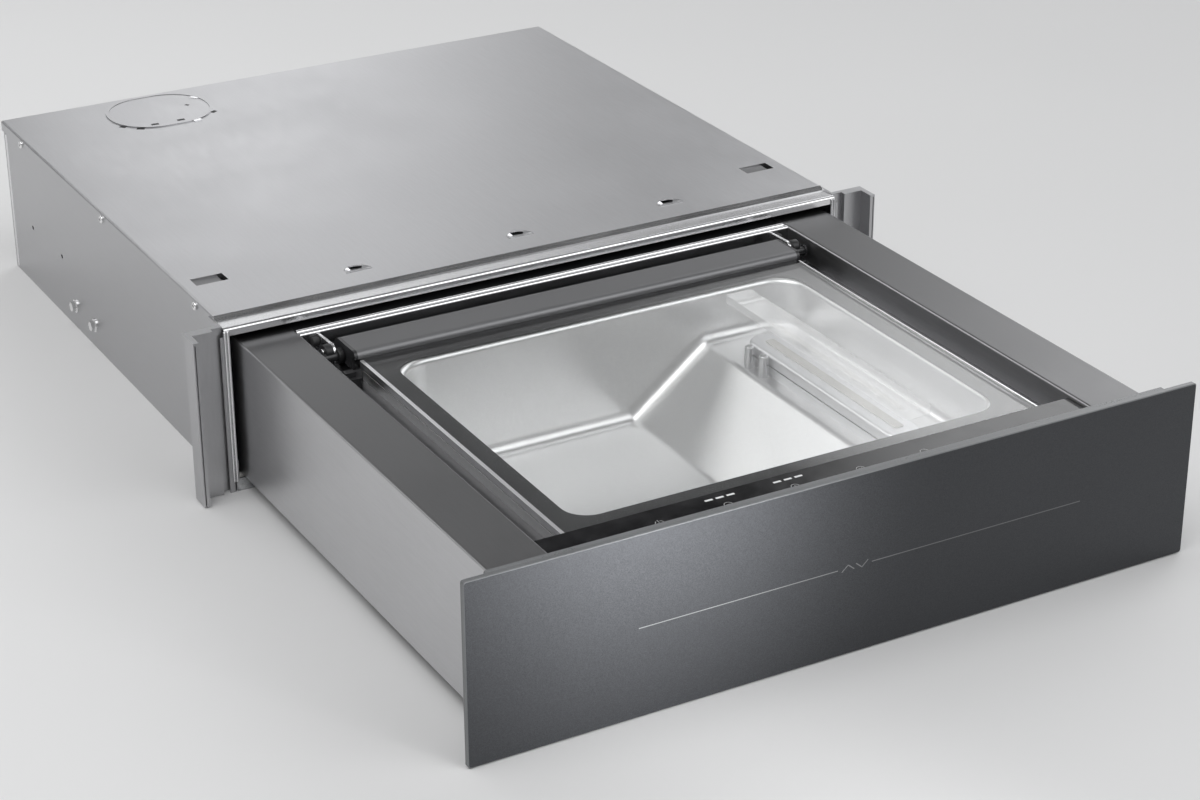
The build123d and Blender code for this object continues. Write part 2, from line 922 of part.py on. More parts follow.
with BuildPart() as inner_rails:
    for side in (-1, 1):
        x = side * rail_x
        with BuildSketch(Plane.XZ.offset(-(inner_rail_front + rail_length))):
            with BuildLine():
                FilletPolyline(
                    (x + rail_half - rail_lip, inner_rail_bottom),
                    (x + rail_half, inner_rail_bottom),
                    (x + rail_half, inner_rail_top),
                    (x - rail_half, inner_rail_top),
                    (x - rail_half, inner_rail_bottom),
                    (x - rail_half + rail_lip, inner_rail_bottom),
                    radius=rail_bend,
                )
                offset(amount=rail_sheet, side=Side.LEFT)
            make_face()
        extrude(amount=rail_length)
inner_rails.part.label = "inner_rails"
export_step(inner_rails.part, "parts/inner_rails.step")

middle_rail_front = rail_front - drawer_travel / 2
race_height = rail_height - 2 * rail_sheet - 2 * rail_play
race_half = rail_half - rail_sheet - rail_play
lower_race = rail_floor + rail_height / 2
upper_race = inner_rail_bottom + rail_height / 2

with BuildPart() as right_middle_rail:
    # Two races with a web between them, and a groove for the balls in each side
    with BuildSketch(Plane.XZ.offset(-(middle_rail_front + rail_length))):
        with Locations((rail_x, lower_race), (rail_x, upper_race)):
            RectangleRounded(2 * race_half, race_height, race_round)
        with Locations((rail_x, (lower_race + upper_race) / 2)):
            Rectangle(rail_web, upper_race - lower_race)
        with Locations(
            (rail_x - race_half, lower_race),
            (rail_x + race_half, lower_race),
            (rail_x - race_half, upper_race),
            (rail_x + race_half, upper_race),
        ):
            Circle(groove_radius, mode=Mode.SUBTRACT)
    extrude(amount=rail_length)
right_middle_rail.part.label = "right_middle_rail"
export_step(right_middle_rail.part, "parts/right_middle_rail.step")

with BuildPart() as left_middle_rail:
    mirror(right_middle_rail.part, about=Plane.YZ)
left_middle_rail.part.label = "left_middle_rail"
export_step(left_middle_rail.part, "parts/left_middle_rail.step")

# Latch that pushes the shut drawer open

spring_front = plunger_front + plunger_length
spring_rear = rear_in - latch_wall

with BuildPart() as latch_housing:
    block(
        mirrored(latch_half),
        (latch_front, rear_in),
        (latch_z - latch_half_height, latch_z + latch_half_height),
    )
    fillet(latch_housing.edges().filter_by(Axis.Y), radius=latch_round)
    with BuildSketch(Plane.XZ.offset(-latch_front)):
        with Locations((0, latch_z)):
            Circle(plunger_radius + plunger_play)
    extrude(amount=-(spring_rear - latch_front), mode=Mode.SUBTRACT)
latch_housing.part.label = "latch_housing"
export_step(latch_housing.part, "parts/latch_housing.step")

with BuildPart() as latch_plunger:
    with BuildSketch(Plane.XZ.offset(-spring_front)):
        with Locations((0, latch_z)):
            Circle(plunger_radius)
    extrude(amount=plunger_length)
    fillet(latch_plunger.edges().group_by(Axis.Y)[0], radius=plunger_round)
latch_plunger.part.label = "latch_plunger"
export_step(latch_plunger.part, "parts/latch_plunger.step")

with BuildPart() as latch_spring:
    spring_start = (0, spring_rear - spring_wire / 2, latch_z)
    spring_height = spring_rear - spring_front - spring_wire
    with BuildLine() as coil:
        Helix(
            pitch=spring_height / spring_turns,
            height=spring_height,
            radius=spring_radius,
            center=spring_start,
            direction=(0, -1, 0),
        )
    with BuildSketch(Plane(origin=coil.line @ 0, z_dir=coil.line % 0)):
        Circle(spring_wire / 2)
    sweep(path=coil.line)
latch_spring.part.label = "latch_spring"
export_step(latch_spring.part, "parts/latch_spring.step")

# Drawer box

with BuildPart() as drawer_base:
    # A channel hung between the inner rails, with its front end turned up
    with BuildSketch(Plane.XZ.offset(-(drawer_rear - wall_sheet))):
        with BuildLine():
            FilletPolyline(
                (cover_sheet - half_drawer, inner_rail_top),
                (-half_base, inner_rail_top),
                (-half_base, skirt_bottom),
                (half_base, skirt_bottom),
                (half_base, inner_rail_top),
                (half_drawer - cover_sheet, inner_rail_top),
                radius=bend,
            )
            offset(amount=base_sheet, side=Side.LEFT)
        make_face()
    extrude(amount=drawer_rear - wall_sheet - frame_rear)
    block(
        mirrored(half_deck - deck_sheet - flange_gap),
        (frame_rear, frame_rear + base_sheet),
        (skirt_bottom, deck_top - deck_sheet - flange_gap),
    )
drawer_base.part.label = "drawer_base"
export_step(drawer_base.part, "parts/drawer_base.step")

with BuildPart() as right_cover:
    with BuildSketch(Plane.XZ.offset(-(drawer_rear - wall_sheet))):
        with BuildLine():
            FilletPolyline(
                (half_drawer, skirt_bottom),
                (half_drawer, cover_top),
                (cover_in, cover_top),
                (cover_in, deck_top),
                radius=cover_bend,
            )
            offset(amount=cover_sheet, side=Side.LEFT)
        make_face()
    extrude(amount=drawer_rear - wall_sheet - frame_rear)
right_cover.part.label = "right_cover"
export_step(right_cover.part, "parts/right_cover.step")

with BuildPart() as left_cover:
    mirror(right_cover.part, about=Plane.YZ)
left_cover.part.label = "left_cover"
export_step(left_cover.part, "parts/left_cover.step")

trough_front = hinge_front + trough_reach
trough_rear = hinge_rear + trough_back
trough_half = arm_out + trough_play

with BuildPart() as deck:
    # The floor of the channels round the lid, on two legs
    with BuildSketch(Plane.XZ.offset(-crossbar_rear)):
        with BuildLine():
            FilletPolyline(
                (-half_deck, floor_top),
                (-half_deck, deck_top),
                (half_deck, deck_top),
                (half_deck, floor_top),
                radius=bend,
            )
            offset(amount=deck_sheet, side=Side.RIGHT)
        make_face()
    extrude(amount=crossbar_rear - frame_rear)
    tub_room = chamber_sheet + tub_play
    block(
        mirrored(half_chamber + tub_room),
        (chamber_front - tub_room, chamber_rear + tub_room),
        (deck_top - deck_sheet, deck_top),
        mode=Mode.SUBTRACT,
    )
    block(
        mirrored(trough_half + trough_wall + side_play),
        (trough_front - trough_wall - side_play, trough_rear + trough_wall + side_play),
        (deck_top - deck_sheet, deck_top),
        mode=Mode.SUBTRACT,
    )
deck.part.label = "deck"
export_step(deck.part, "parts/deck.step")

with BuildPart() as hinge_trough:
    # An open tray that the hinge bar swings down into, with a lip on the deck behind it
    trough_floor = hinge_z - trough_depth
    block(
        mirrored(trough_half + trough_wall),
        (trough_front - trough_wall, trough_rear + trough_wall),
        (trough_floor - trough_wall, deck_top),
    )
    block(
        mirrored(trough_half),
        (trough_front, trough_rear),
        (trough_floor, deck_top),
        mode=Mode.SUBTRACT,
    )
    block(
        mirrored(trough_half + trough_wall),
        (trough_rear, trough_rear + trough_lip),
        (deck_top, deck_top + trough_lip_thick),
    )
hinge_trough.part.label = "hinge_trough"
export_step(hinge_trough.part, "parts/hinge_trough.step")

with BuildPart() as drawer_rear_wall:
    wall_y = (drawer_rear - wall_sheet, drawer_rear)
    block(mirrored(half_drawer), wall_y, (inner_rail_top, cover_top))
    fillet(drawer_rear_wall.edges().filter_by(Axis.Y).group_by(Axis.Z)[-1], radius=cover_bend)
    block(mirrored(half_base), wall_y, (skirt_bottom, inner_rail_top))
    # A recess whose front end meets the latch
    room_x = latch_half + latch_room
    room_z = latch_half_height + latch_room
    block(
        mirrored(room_x + pocket_wall),
        (striker_rear - pocket_wall, drawer_rear),
        (latch_z - room_z - pocket_wall, latch_z + room_z + pocket_wall),
    )
    block(
        mirrored(room_x),
        (striker_rear, drawer_rear),
        (latch_z - room_z, latch_z + room_z),
        mode=Mode.SUBTRACT,
    )
drawer_rear_wall.part.label = "drawer_rear_wall"
export_step(drawer_rear_wall.part, "parts/drawer_rear_wall.step")

with BuildPart() as crossbar:
    # A bar with two rounded ridges along its top
    ridge_z = cover_top - ridge_radius
    with BuildSketch(Plane.YZ.offset(-half_panel)):
        with Locations(((crossbar_front + crossbar_rear) / 2, (deck_top + ridge_z) / 2)):
            Rectangle(crossbar_depth, ridge_z - deck_top)
        with Locations((crossbar_front + ridge_radius, ridge_z), (crossbar_rear - ridge_radius, ridge_z)):
            Circle(ridge_radius)
    extrude(amount=2 * half_panel)
crossbar.part.label = "crossbar"
export_step(crossbar.part, "parts/crossbar.step")

with BuildPart() as bay_cover:
    block(
        mirrored(half_panel),
        (crossbar_rear, drawer_rear - wall_sheet),
        (bay_cover_bottom, bay_cover_top),
    )
bay_cover.part.label = "bay_cover"
export_step(bay_cover.part, "parts/bay_cover.step")

# Front of the drawer

with BuildPart() as front_frame:
    with BuildSketch(Plane.XZ.offset(-frame_rear)):
        with Locations((0, (frame_bottom + frame_top) / 2)):
            RectangleRounded(2 * half_frame, frame_top - frame_bottom, frame_corner)
    extrude(amount=frame_thick)
    chamfer(front_frame.faces().sort_by(Axis.Y)[-1].edges(), length=frame_edge)
front_frame.part.label = "front_frame"
export_step(front_frame.part, "parts/front_frame.step")

with BuildPart() as front_glass:
    with BuildSketch(Plane.XZ.offset(-frame_front)):
        with Locations((0, (glass_bottom + glass_top) / 2)):
            RectangleRounded(2 * half_glass, glass_top - glass_bottom, glass_corner)
    extrude(amount=glass_thick)
    chamfer(front_glass.faces().sort_by(Axis.Y)[0].edges(), length=glass_edge)
front_glass.part.label = "front_glass"
export_step(front_glass.part, "parts/front_glass.step")

with BuildPart() as front_buffers:
    # They meet the front tabs of the slide brackets
    buffer_x = (tab_x[0] + tab_x[1]) / 2
    with BuildSketch(Plane.XZ.offset(-frame_rear)):
        with Locations((-buffer_x, buffer_z), (buffer_x, buffer_z)):
            Circle(buffer_radius)
    extrude(amount=-(shut_gap - buffer_play))
    fillet(front_buffers.edges().group_by(Axis.Y)[-1], radius=buffer_round)
front_buffers.part.label = "front_buffers"
export_step(front_buffers.part, "parts/front_buffers.step")

light_y = panel_rear - light_inset
light_places = [(x + step * light_pitch, light_y) for x in light_groups for step in (-1, 0, 1)]

with BuildPart() as control_panel:
    block(mirrored(half_panel), (frame_rear, panel_rear), (panel_bottom, panel_top))
    chamfer(control_panel.faces().sort_by(Axis.Z)[-1].edges(), length=panel_edge)
    with BuildSketch(Plane.XY.offset(panel_top - light_depth)):
        with Locations(*light_places):
            Rectangle(light_length, light_width)
    extrude(amount=light_depth, mode=Mode.SUBTRACT)
control_panel.part.label = "control_panel"
export_step(control_panel.part, "parts/control_panel.step")

with BuildPart() as control_lights:
    with BuildSketch(Plane.XY.offset(panel_top - light_depth)):
        with Locations(*light_places):
            Rectangle(light_length, light_width)
    extrude(amount=light_depth + light_proud)
control_lights.part.label = "control_lights"
export_step(control_lights.part, "parts/control_lights.step")

with BuildPart() as panel_tray:
    block(mirrored(half_panel), (frame_rear, panel_rear), (deck_top, panel_bottom))
    block(
        mirrored(half_panel - tray_wall),
        (frame_rear + tray_wall, panel_rear - tray_wall),
        (deck_top + tray_wall, panel_bottom),
        mode=Mode.SUBTRACT,
    )
panel_tray.part.label = "panel_tray"
export_step(panel_tray.part, "parts/panel_tray.step")

with BuildPart() as control_board:
    board_half = half_panel - board_inset
    board_bottom = deck_top + tray_wall + board_stand
    board_y = (frame_rear + panel_rear) / 2
    board_width = panel_depth - 2 * board_play
    with BuildSketch(Plane.XY.offset(board_bottom)):
        with Locations((0, board_y)):
            Rectangle(2 * board_half, board_width)
    extrude(amount=board_thick)
    # Stands below, and lamps and a chip above
    with BuildSketch(Plane.XY.offset(deck_top + tray_wall)):
        with Locations((0, board_y)):
            with GridLocations(board_half, board_width - 2 * stand_inset, 3, 2):
                Circle(stand_radius)
    extrude(amount=board_stand)
    with BuildSketch(Plane.XY.offset(board_bottom + board_thick)):
        with Locations(*light_places):
            Rectangle(lamp_length, lamp_width)
        with Locations((chip_x, board_y)):
            Rectangle(chip_size, chip_size)
    extrude(amount=lamp_height)
control_board.part.label = "control_board"
export_step(control_board.part, "parts/control_board.step")

# Vacuum chamber

flange_front = chamber_front - chamber_front_flange
flange_rear = chamber_rear + chamber_rear_flange
flange_y = (flange_front + flange_rear) / 2
flange_length = flange_rear - flange_front

with BuildPart() as chamber_space:
    # The space inside: a deep part on the left, a ramp, and a shelf on the right
    with BuildSketch(Plane.XZ.offset(-chamber_rear)):
        with BuildLine():
            Polyline(
                (-half_chamber, rim_top),
                (-half_chamber, chamber_floor),
                (ramp_foot, chamber_floor),
                (ramp_head, shelf_top),
                (half_chamber, shelf_top),
                (half_chamber, rim_top),
                close=True,
            )
        make_face()
    extrude(amount=chamber_length)
    with BuildSketch(Plane.XY.offset(chamber_floor)):
        with Locations((0, chamber_y)):
            RectangleRounded(chamber_width, chamber_length, chamber_corner)
    extrude(amount=chamber_depth, mode=Mode.INTERSECT)
    low_edges = chamber_space.edges().filter_by_position(Axis.Z, chamber_floor - 1, rim_top - 1)
    fillet(low_edges.filter_by(lambda edge: abs(edge.tangent_at(0.5).Z) < 0.99), chamber_round)

with BuildPart() as chamber_body:
    # The same space grown by the thickness of the sheet
    add(chamber_space.part)
    offset(amount=chamber_sheet)
    split(bisect_by=Plane.XY.offset(rim_top - chamber_sheet), keep=Keep.BOTTOM)


def flared(shape, z, thick, radius, margin):
    """A form of the chamber that flares at height z into a flange of the given thickness."""
    with BuildPart() as form:
        add(shape)
        with BuildSketch(Plane.XY.offset(z)):
            with Locations((0, flange_y)):
                RectangleRounded(
                    2 * (half_flange + margin), flange_length + 2 * margin, flange_corner
                )
        extrude(amount=thick)
        joint = form.edges().filter_by_position(Axis.Z, z - 0.01, z + 0.01)
        inner = joint.filter_by(
            lambda edge: abs(edge.center().X) < half_chamber + chamber_mouth
            and abs(edge.center().Y - chamber_y) < chamber_length / 2 + chamber_mouth
        )
        fillet(inner, radius=radius)
    return form.part


with BuildPart() as vacuum_chamber:
    # Deep-drawn sheet whose flange turns down to stand on the deck
    with BuildSketch(Plane.XY.offset(deck_top)):
        with Locations((0, flange_y)):
            RectangleRounded(2 * half_flange, flange_length, flange_corner)
            RectangleRounded(
                2 * (half_flange - chamber_sheet),
                flange_length - 2 * chamber_sheet,
                flange_corner - chamber_sheet,
                mode=Mode.SUBTRACT,
            )
    extrude(amount=rim_top - deck_top)
    back_round = chamber_mouth - chamber_sheet
    add(flared(chamber_body.part, rim_top - chamber_sheet, chamber_sheet, back_round, 0))
    add(flared(chamber_space.part, rim_top, 4 * chamber_sheet, chamber_mouth, 1), mode=Mode.SUBTRACT)
    rim_edges = vacuum_chamber.edges().filter_by_position(Axis.Z, rim_top - 0.01, rim_top + 0.01)
    fillet(rim_edges, radius=rim_round)
    # Holes for the lifting rods and for the hose
    with BuildSketch(Plane.XY.offset(shelf_under)):
        with Locations(*rod_places):
            Circle(rod_radius + hole_play)
    extrude(amount=chamber_sheet, mode=Mode.SUBTRACT)
    with BuildSketch(Plane.XZ.offset(-chamber_front)):
        with Locations((hose_port_x, hose_port_z)):
            Circle(hose_bore)
    extrude(amount=2 * chamber_sheet, mode=Mode.SUBTRACT)
vacuum_chamber.part.label = "vacuum_chamber"
export_step(vacuum_chamber.part, "parts/vacuum_chamber.step")

with BuildPart() as lid_seal:
    # A flat ring on the flange, round the chamber's mouth
    seal_in = chamber_mouth + seal_inset
    seal_out = seal_in + seal_width
    with BuildSketch(Plane.XY.offset(rim_top)):
        with Locations((0, chamber_y)):
            RectangleRounded(
                chamber_width + 2 * seal_out, chamber_length + 2 * seal_out, chamber_corner + seal_out
            )
            RectangleRounded(
                chamber_width + 2 * seal_in,
                chamber_length + 2 * seal_in,
                chamber_corner + seal_in,
                mode=Mode.SUBTRACT,
            )
    extrude(amount=lid_under - seal_play - rim_top)
lid_seal.part.label = "lid_seal"
export_step(lid_seal.part, "parts/lid_seal.step")

# Sealing bar

seal_bar_round = (seal_bar_width - seal_bar_flat) / 2

with BuildPart() as seal_bar_base:
    with BuildSketch(Plane.XY.offset(shelf_top)):
        with Locations((seal_bar_x, seal_bar_y)):
            RectangleRounded(seal_bar_width, seal_bar_length, seal_bar_round)
        with Locations(*rod_places):
            Circle(rod_radius + hole_play, mode=Mode.SUBTRACT)
    extrude(amount=seal_base_height)
seal_bar_base.part.label = "seal_bar_base"
export_step(seal_bar_base.part, "parts/seal_bar_base.step")

with BuildPart() as sealing_bar:
    with BuildSketch(Plane.XY.offset(seal_bar_bottom)):
        with Locations((seal_bar_x, seal_bar_y)):
            RectangleRounded(seal_bar_width, seal_bar_length, seal_bar_round)
    extrude(amount=seal_bar_height)
    fillet(sealing_bar.edges().group_by(Axis.Z)[-1], radius=seal_bar_edge)
sealing_bar.part.label = "sealing_bar"
export_step(sealing_bar.part, "parts/sealing_bar.step")

with BuildPart() as heating_strip:
    with BuildSketch(Plane.XY.offset(seal_bar_top)):
        with Locations((seal_bar_x, seal_bar_y)):
            RectangleRounded(strip_width, seal_bar_length - seal_bar_width, strip_corner)
    extrude(amount=strip_height)
heating_strip.part.label = "heating_strip"
export_step(heating_strip.part, "parts/heating_strip.step")

with BuildPart() as lift_rods:
    with BuildSketch(Plane.XY.offset(shelf_under - rod_below)):
        with Locations(*rod_places):
            Circle(rod_radius)
    extrude(amount=seal_bar_bottom - shelf_under + rod_below)
    chamfer(lift_rods.edges().group_by(Axis.Z)[0], length=rod_edge)
lift_rods.part.label = "lift_rods"
export_step(lift_rods.part, "parts/lift_rods.step")

with BuildPart() as lift_cylinders:
    with BuildSketch(Plane.XY.offset(shelf_under - cylinder_height)):
        with Locations(*rod_places):
            Circle(cylinder_radius)
    extrude(amount=cylinder_height)
    chamfer(lift_cylinders.edges().group_by(Axis.Z)[0], length=cylinder_edge)
    with BuildSketch(Plane.XY.offset(shelf_under - cylinder_height + cylinder_floor)):
        with Locations(*rod_places):
            Circle(rod_radius + rod_play)
    extrude(amount=cylinder_height - cylinder_floor, mode=Mode.SUBTRACT)
lift_cylinders.part.label = "lift_cylinders"
export_step(lift_cylinders.part, "parts/lift_cylinders.step")

with BuildPart() as seal_contacts:
    # Two posts beside the sealing bar that bring it its current
    contact_x = seal_bar_x - seal_bar_width / 2 - contact_gap - contact_radius
    contact_y = chamber_rear - contact_rear
    with BuildSketch(Plane.XY.offset(shelf_top)):
        with Locations((contact_x, contact_y), (contact_x, contact_y - contact_pitch)):
            Circle(contact_radius)
    extrude(amount=contact_height)
    fillet(seal_contacts.edges().group_by(Axis.Z)[-1], radius=contact_round)
seal_contacts.part.label = "seal_contacts"
export_step(seal_contacts.part, "parts/seal_contacts.step")

# Lid

with BuildPart() as lid:
    with BuildSketch(Plane.XY.offset(lid_under)):
        with Locations((0, (lid_front + lid_rear) / 2)):
            Rectangle(2 * half_lid, lid_rear - lid_front)
    extrude(amount=lid_thick)
    front_corners = lid.edges().filter_by(Axis.Z).group_by(Axis.Y)[0]
    fillet(front_corners, radius=lid_corner)
    chamfer(lid.faces().sort_by(Axis.Z)[-1].edges().sort_by(Axis.Y)[:-1], length=lid_edge)
    chamfer(lid.faces().sort_by(Axis.Z)[0].edges().sort_by(Axis.Y)[:-1], length=lid_edge)
lid.part.label = "lid"
export_step(lid.part, "parts/lid.step")

with BuildSketch(Plane.YZ) as hinge_section:
    # Rounded behind the glass, with a lip over its rear edge
    with BuildLine():
        outline = FilletPolyline(
            (hinge_front, lid_top),
            (hinge_front, cover_top),
            (hinge_rear, cover_top),
            (hinge_rear, hinge_bottom),
            (lid_rear, hinge_bottom),
            radius=(hinge_front_round, hinge_rear_round, hinge_low_round),
        )
        Polyline(outline @ 1, (lid_rear, lid_top), outline @ 0)
    make_face()

with BuildPart() as hinge_bar:
    extrude(hinge_section.sketch, amount=half_lid, both=True)
hinge_bar.part.label = "hinge_bar"
export_step(hinge_bar.part, "parts/hinge_bar.step")

with BuildPart() as hinge_arms:
    # End plates that follow the bar
    for side in (-1, 1):
        end_section = hinge_section.sketch.moved(Location((side * half_lid, 0, 0)))
        extrude(end_section, amount=side * (arm_out - half_lid))
hinge_arms.part.label = "hinge_arms"
export_step(hinge_arms.part, "parts/hinge_arms.step")

with BuildPart() as hinge_pins:
    for side in (-1, 1):
        with BuildSketch(Plane.YZ.offset(side * arm_out)):
            with Locations((hinge_y, hinge_z)):
                Circle(pin_radius)
        extrude(amount=side * (lug_out + pin_gap + pin_head - arm_out))
        with BuildSketch(Plane.YZ.offset(side * (lug_out + pin_gap))):
            with Locations((hinge_y, hinge_z)):
                Circle(pin_head_radius)
        extrude(amount=side * pin_head)
hinge_pins.part.label = "hinge_pins"
export_step(hinge_pins.part, "parts/hinge_pins.step")

with BuildPart() as hinge_lugs:
    for side in (-1, 1):
        with BuildSketch(Plane.YZ.offset(side * lug_in)):
            with Locations((hinge_y, (deck_top + hinge_z) / 2)):
                Rectangle(lug_length, hinge_z - deck_top)
            with Locations((hinge_y, hinge_z)):
                Circle(lug_round)
                Circle(pin_radius + pin_play, mode=Mode.SUBTRACT)
        extrude(amount=side * lug_width)
hinge_lugs.part.label = "hinge_lugs"
export_step(hinge_lugs.part, "parts/hinge_lugs.step")

with BuildPart() as counter_bar:
    # A soft bar under the glass that the sealing bar presses against
    block(
        (seal_bar_x - counter_width / 2, seal_bar_x + counter_width / 2),
        (seal_bar_front - counter_front, seal_bar_end + counter_rear),
        (counter_bottom, lid_under),
    )
    fillet(counter_bar.edges().filter_by(Axis.Z), radius=counter_corner)
    fillet(counter_bar.edges().group_by(Axis.Z)[0], radius=counter_round)
counter_bar.part.label = "counter_bar"
export_step(counter_bar.part, "parts/counter_bar.step")

with BuildPart() as lid_switch:
    # It stands in the left channel, with its button on top
    switch_x = (-lug_out, -(arm_out + switch_play))
    switch_y = (hinge_front - switch_ahead - switch_length, hinge_front - switch_ahead)
    switch_top = lid_under - switch_below
    block(switch_x, switch_y, (deck_top, switch_top))
    fillet(lid_switch.edges().filter_by(Axis.Z), radius=switch_round)
    block(
        (switch_x[0] + switch_button_inset, switch_x[1] - switch_button_inset),
        (switch_y[0] + switch_button_inset, switch_y[1] - switch_button_inset),
        (switch_top, switch_top + switch_button_height),
    )
lid_switch.part.label = "lid_switch"
export_step(lid_switch.part, "parts/lid_switch.step")

# Vacuum pump

with BuildPart() as pump:
    with BuildSketch(Plane.XZ.offset(-motor_front)):
        with Locations((pump_x, pump_z)):
            Circle(pump_radius)
    extrude(amount=pump_length)
    chamfer(pump.edges().group_by(Axis.Y)[0], length=pump_edge)
    for distance in pump_grooves:
        with BuildSketch(Plane.XZ.offset(-(pump_front + distance))):
            with Locations((pump_x, pump_z)):
                Circle(pump_radius + pump_groove_depth)
                Circle(pump_radius - pump_groove_depth, mode=Mode.SUBTRACT)
        extrude(amount=pump_groove_width, mode=Mode.SUBTRACT)
    with BuildSketch(Plane.XZ.offset(-pump_front)):
        with Locations((pump_x, hose_z)):
            Circle(hose_radius)
    extrude(amount=pump_port)
    with BuildSketch(Plane.XZ.offset(-motor_front)):
        with Locations((pump_x, pump_z)):
            Circle(shaft_radius + shaft_play)
    extrude(amount=shaft_hole, mode=Mode.SUBTRACT)
pump.part.label = "pump"
export_step(pump.part, "parts/pump.step")

with BuildPart() as pump_motor:
    with BuildSketch(Plane.XZ.offset(-motor_rear)):
        with Locations((pump_x, pump_z)):
            Circle(motor_radius)
            with PolarLocations(motor_radius, motor_flutes):
                Rectangle(2 * flute_depth, flute_width, mode=Mode.SUBTRACT)
            Circle(shaft_radius + shaft_play, mode=Mode.SUBTRACT)
    extrude(amount=motor_length)
pump_motor.part.label = "pump_motor"
export_step(pump_motor.part, "parts/pump_motor.step")

with BuildPart() as pump_shaft:
    shaft_rear = motor_rear + shaft_stub
    with BuildSketch(Plane.XZ.offset(-shaft_rear)):
        with Locations((pump_x, pump_z)):
            Circle(shaft_radius)
    extrude(amount=shaft_rear - motor_front + shaft_hole - shaft_end_gap)
    chamfer(pump_shaft.edges().group_by(Axis.Y)[-1], length=shaft_edge)
pump_shaft.part.label = "pump_shaft"
export_step(pump_shaft.part, "parts/pump_shaft.step")

with BuildPart() as cooling_fan:
    fan_front = motor_rear + fan_gap
    with BuildSketch(Plane.XZ.offset(-(fan_front + fan_length))):
        with Locations((pump_x, pump_z)):
            Circle(fan_hub)
            with PolarLocations((fan_radius + fan_hub - fan_blade_root) / 2, fan_blades):
                Rectangle(
                    fan_radius - fan_hub + fan_blade_root, fan_blade_thick, rotation=fan_blade_turn
                )
            Circle(shaft_radius, mode=Mode.SUBTRACT)
    extrude(amount=fan_length)
cooling_fan.part.label = "cooling_fan"
export_step(cooling_fan.part, "parts/cooling_fan.step")

with BuildPart() as pump_cradle:
    # A plate with three saddles that hold the pump and its motor
    cradle_half = pump_radius + cradle_margin
    saddle_top = pump_z - saddle_drop
    block(
        (pump_x - cradle_half, pump_x + cradle_half),
        (pump_front + cradle_end, motor_rear - cradle_end),
        (floor_top, floor_top + cradle_sheet),
    )
    for y, radius in (
        (pump_front + saddle_inset, pump_radius),
        (motor_front + saddle_inset, motor_radius),
        (motor_rear - saddle_inset, motor_radius),
    ):
        with BuildSketch(Plane.XZ.offset(-y)):
            with Locations((pump_x, (floor_top + saddle_top) / 2)):
                Rectangle(2 * saddle_half, saddle_top - floor_top)
            with Locations((pump_x, pump_z)):
                Circle(radius + saddle_play, mode=Mode.SUBTRACT)
        extrude(amount=saddle_thick)
pump_cradle.part.label = "pump_cradle"
export_step(pump_cradle.part, "parts/pump_cradle.step")

with BuildPart() as vacuum_hose:
    # From the pump's port forward, across and up to the port in the chamber's front wall
    hose_y = chamber_front - hose_forward
    with BuildLine() as hose_path:
        FilletPolyline(
            (pump_x, pump_front - pump_port, hose_z),
            (pump_x, hose_y, hose_z),
            (hose_port_x, hose_y, hose_z),
            (hose_port_x, hose_y, hose_port_z),
            (hose_port_x, chamber_front - chamber_sheet, hose_port_z),
            radius=hose_bend,
        )
    with BuildSketch(Plane(origin=hose_path.line @ 0, z_dir=hose_path.line % 0)):
        Circle(hose_radius)
        Circle(hose_bore, mode=Mode.SUBTRACT)
    sweep(path=hose_path.line)
vacuum_hose.part.label = "vacuum_hose"
export_step(vacuum_hose.part, "parts/vacuum_hose.step")

# Compartment behind the chamber

with BuildPart() as transformer:
    bay_y = (crossbar_rear + drawer_rear) / 2
    core_y = (bay_y - transformer_length / 2, bay_y + transformer_length / 2)
    core_x = (transformer_x - transformer_width / 2, transformer_x + transformer_width / 2)
    core_top = floor_top + transformer_height
    block(core_x, core_y, (floor_top, core_top))
    # The winding fills the windows of the core, apart from a gap at each side
    window_z = (floor_top + core_limb, core_top - core_limb)
    for x in (core_x[0] + core_limb, core_x[1] - core_limb - core_window):
        block((x, x + core_window), core_y, window_z, mode=Mode.SUBTRACT)
    block(
        (core_x[0] + core_limb + winding_play, core_x[1] - core_limb - winding_play),
        (core_y[0] - winding_proud, core_y[1] + winding_proud),
        (window_z[0] + winding_play, window_z[1] - winding_play),
    )
transformer.part.label = "transformer"
export_step(transformer.part, "parts/transformer.step")

with BuildPart() as power_board:
    power_board_top = floor_top + power_stand + board_thick
    with BuildSketch(Plane.XY.offset(floor_top + power_stand)):
        with Locations((power_board_x, bay_y)):
            Rectangle(power_board_width, power_board_length)
    extrude(amount=board_thick)
    with BuildSketch(Plane.XY.offset(floor_top)):
        with Locations((power_board_x, bay_y)):
            with GridLocations(
                power_board_width - 2 * power_stand_inset, power_board_length - 2 * power_stand_inset, 2, 2
            ):
                Circle(power_stand_radius)
    extrude(amount=power_stand)
    with BuildSketch(Plane.XY.offset(power_board_top)):
        with Locations(*[(power_board_x + x, bay_y + y) for x, y in capacitor_places]):
            Circle(capacitor_radius)
    extrude(amount=capacitor_height)
    with BuildSketch(Plane.XY.offset(power_board_top)):
        with Locations(*[(power_board_x + x, bay_y + y) for x, y in relay_places]):
            Rectangle(relay_length, relay_width)
    extrude(amount=relay_height)
power_board.part.label = "power_board"
export_step(power_board.part, "parts/power_board.step")

with BuildPart() as vent_valve:
    with BuildSketch(Plane.XY.offset(floor_top)):
        with Locations((valve_x, bay_y)):
            Rectangle(valve_width, valve_length)
    extrude(amount=valve_height)
    with BuildSketch(Plane.XY.offset(floor_top + valve_height)):
        with Locations((valve_x, bay_y)):
            Circle(coil_radius)
    extrude(amount=coil_height)
    with BuildSketch(Plane.XZ.offset(-(bay_y - valve_length / 2))):
        with Locations((valve_x, floor_top + valve_height / 2)):
            Circle(valve_port_radius)
    extrude(amount=valve_port_length)
vent_valve.part.label = "vent_valve"
export_step(vent_valve.part, "parts/vent_valve.step")
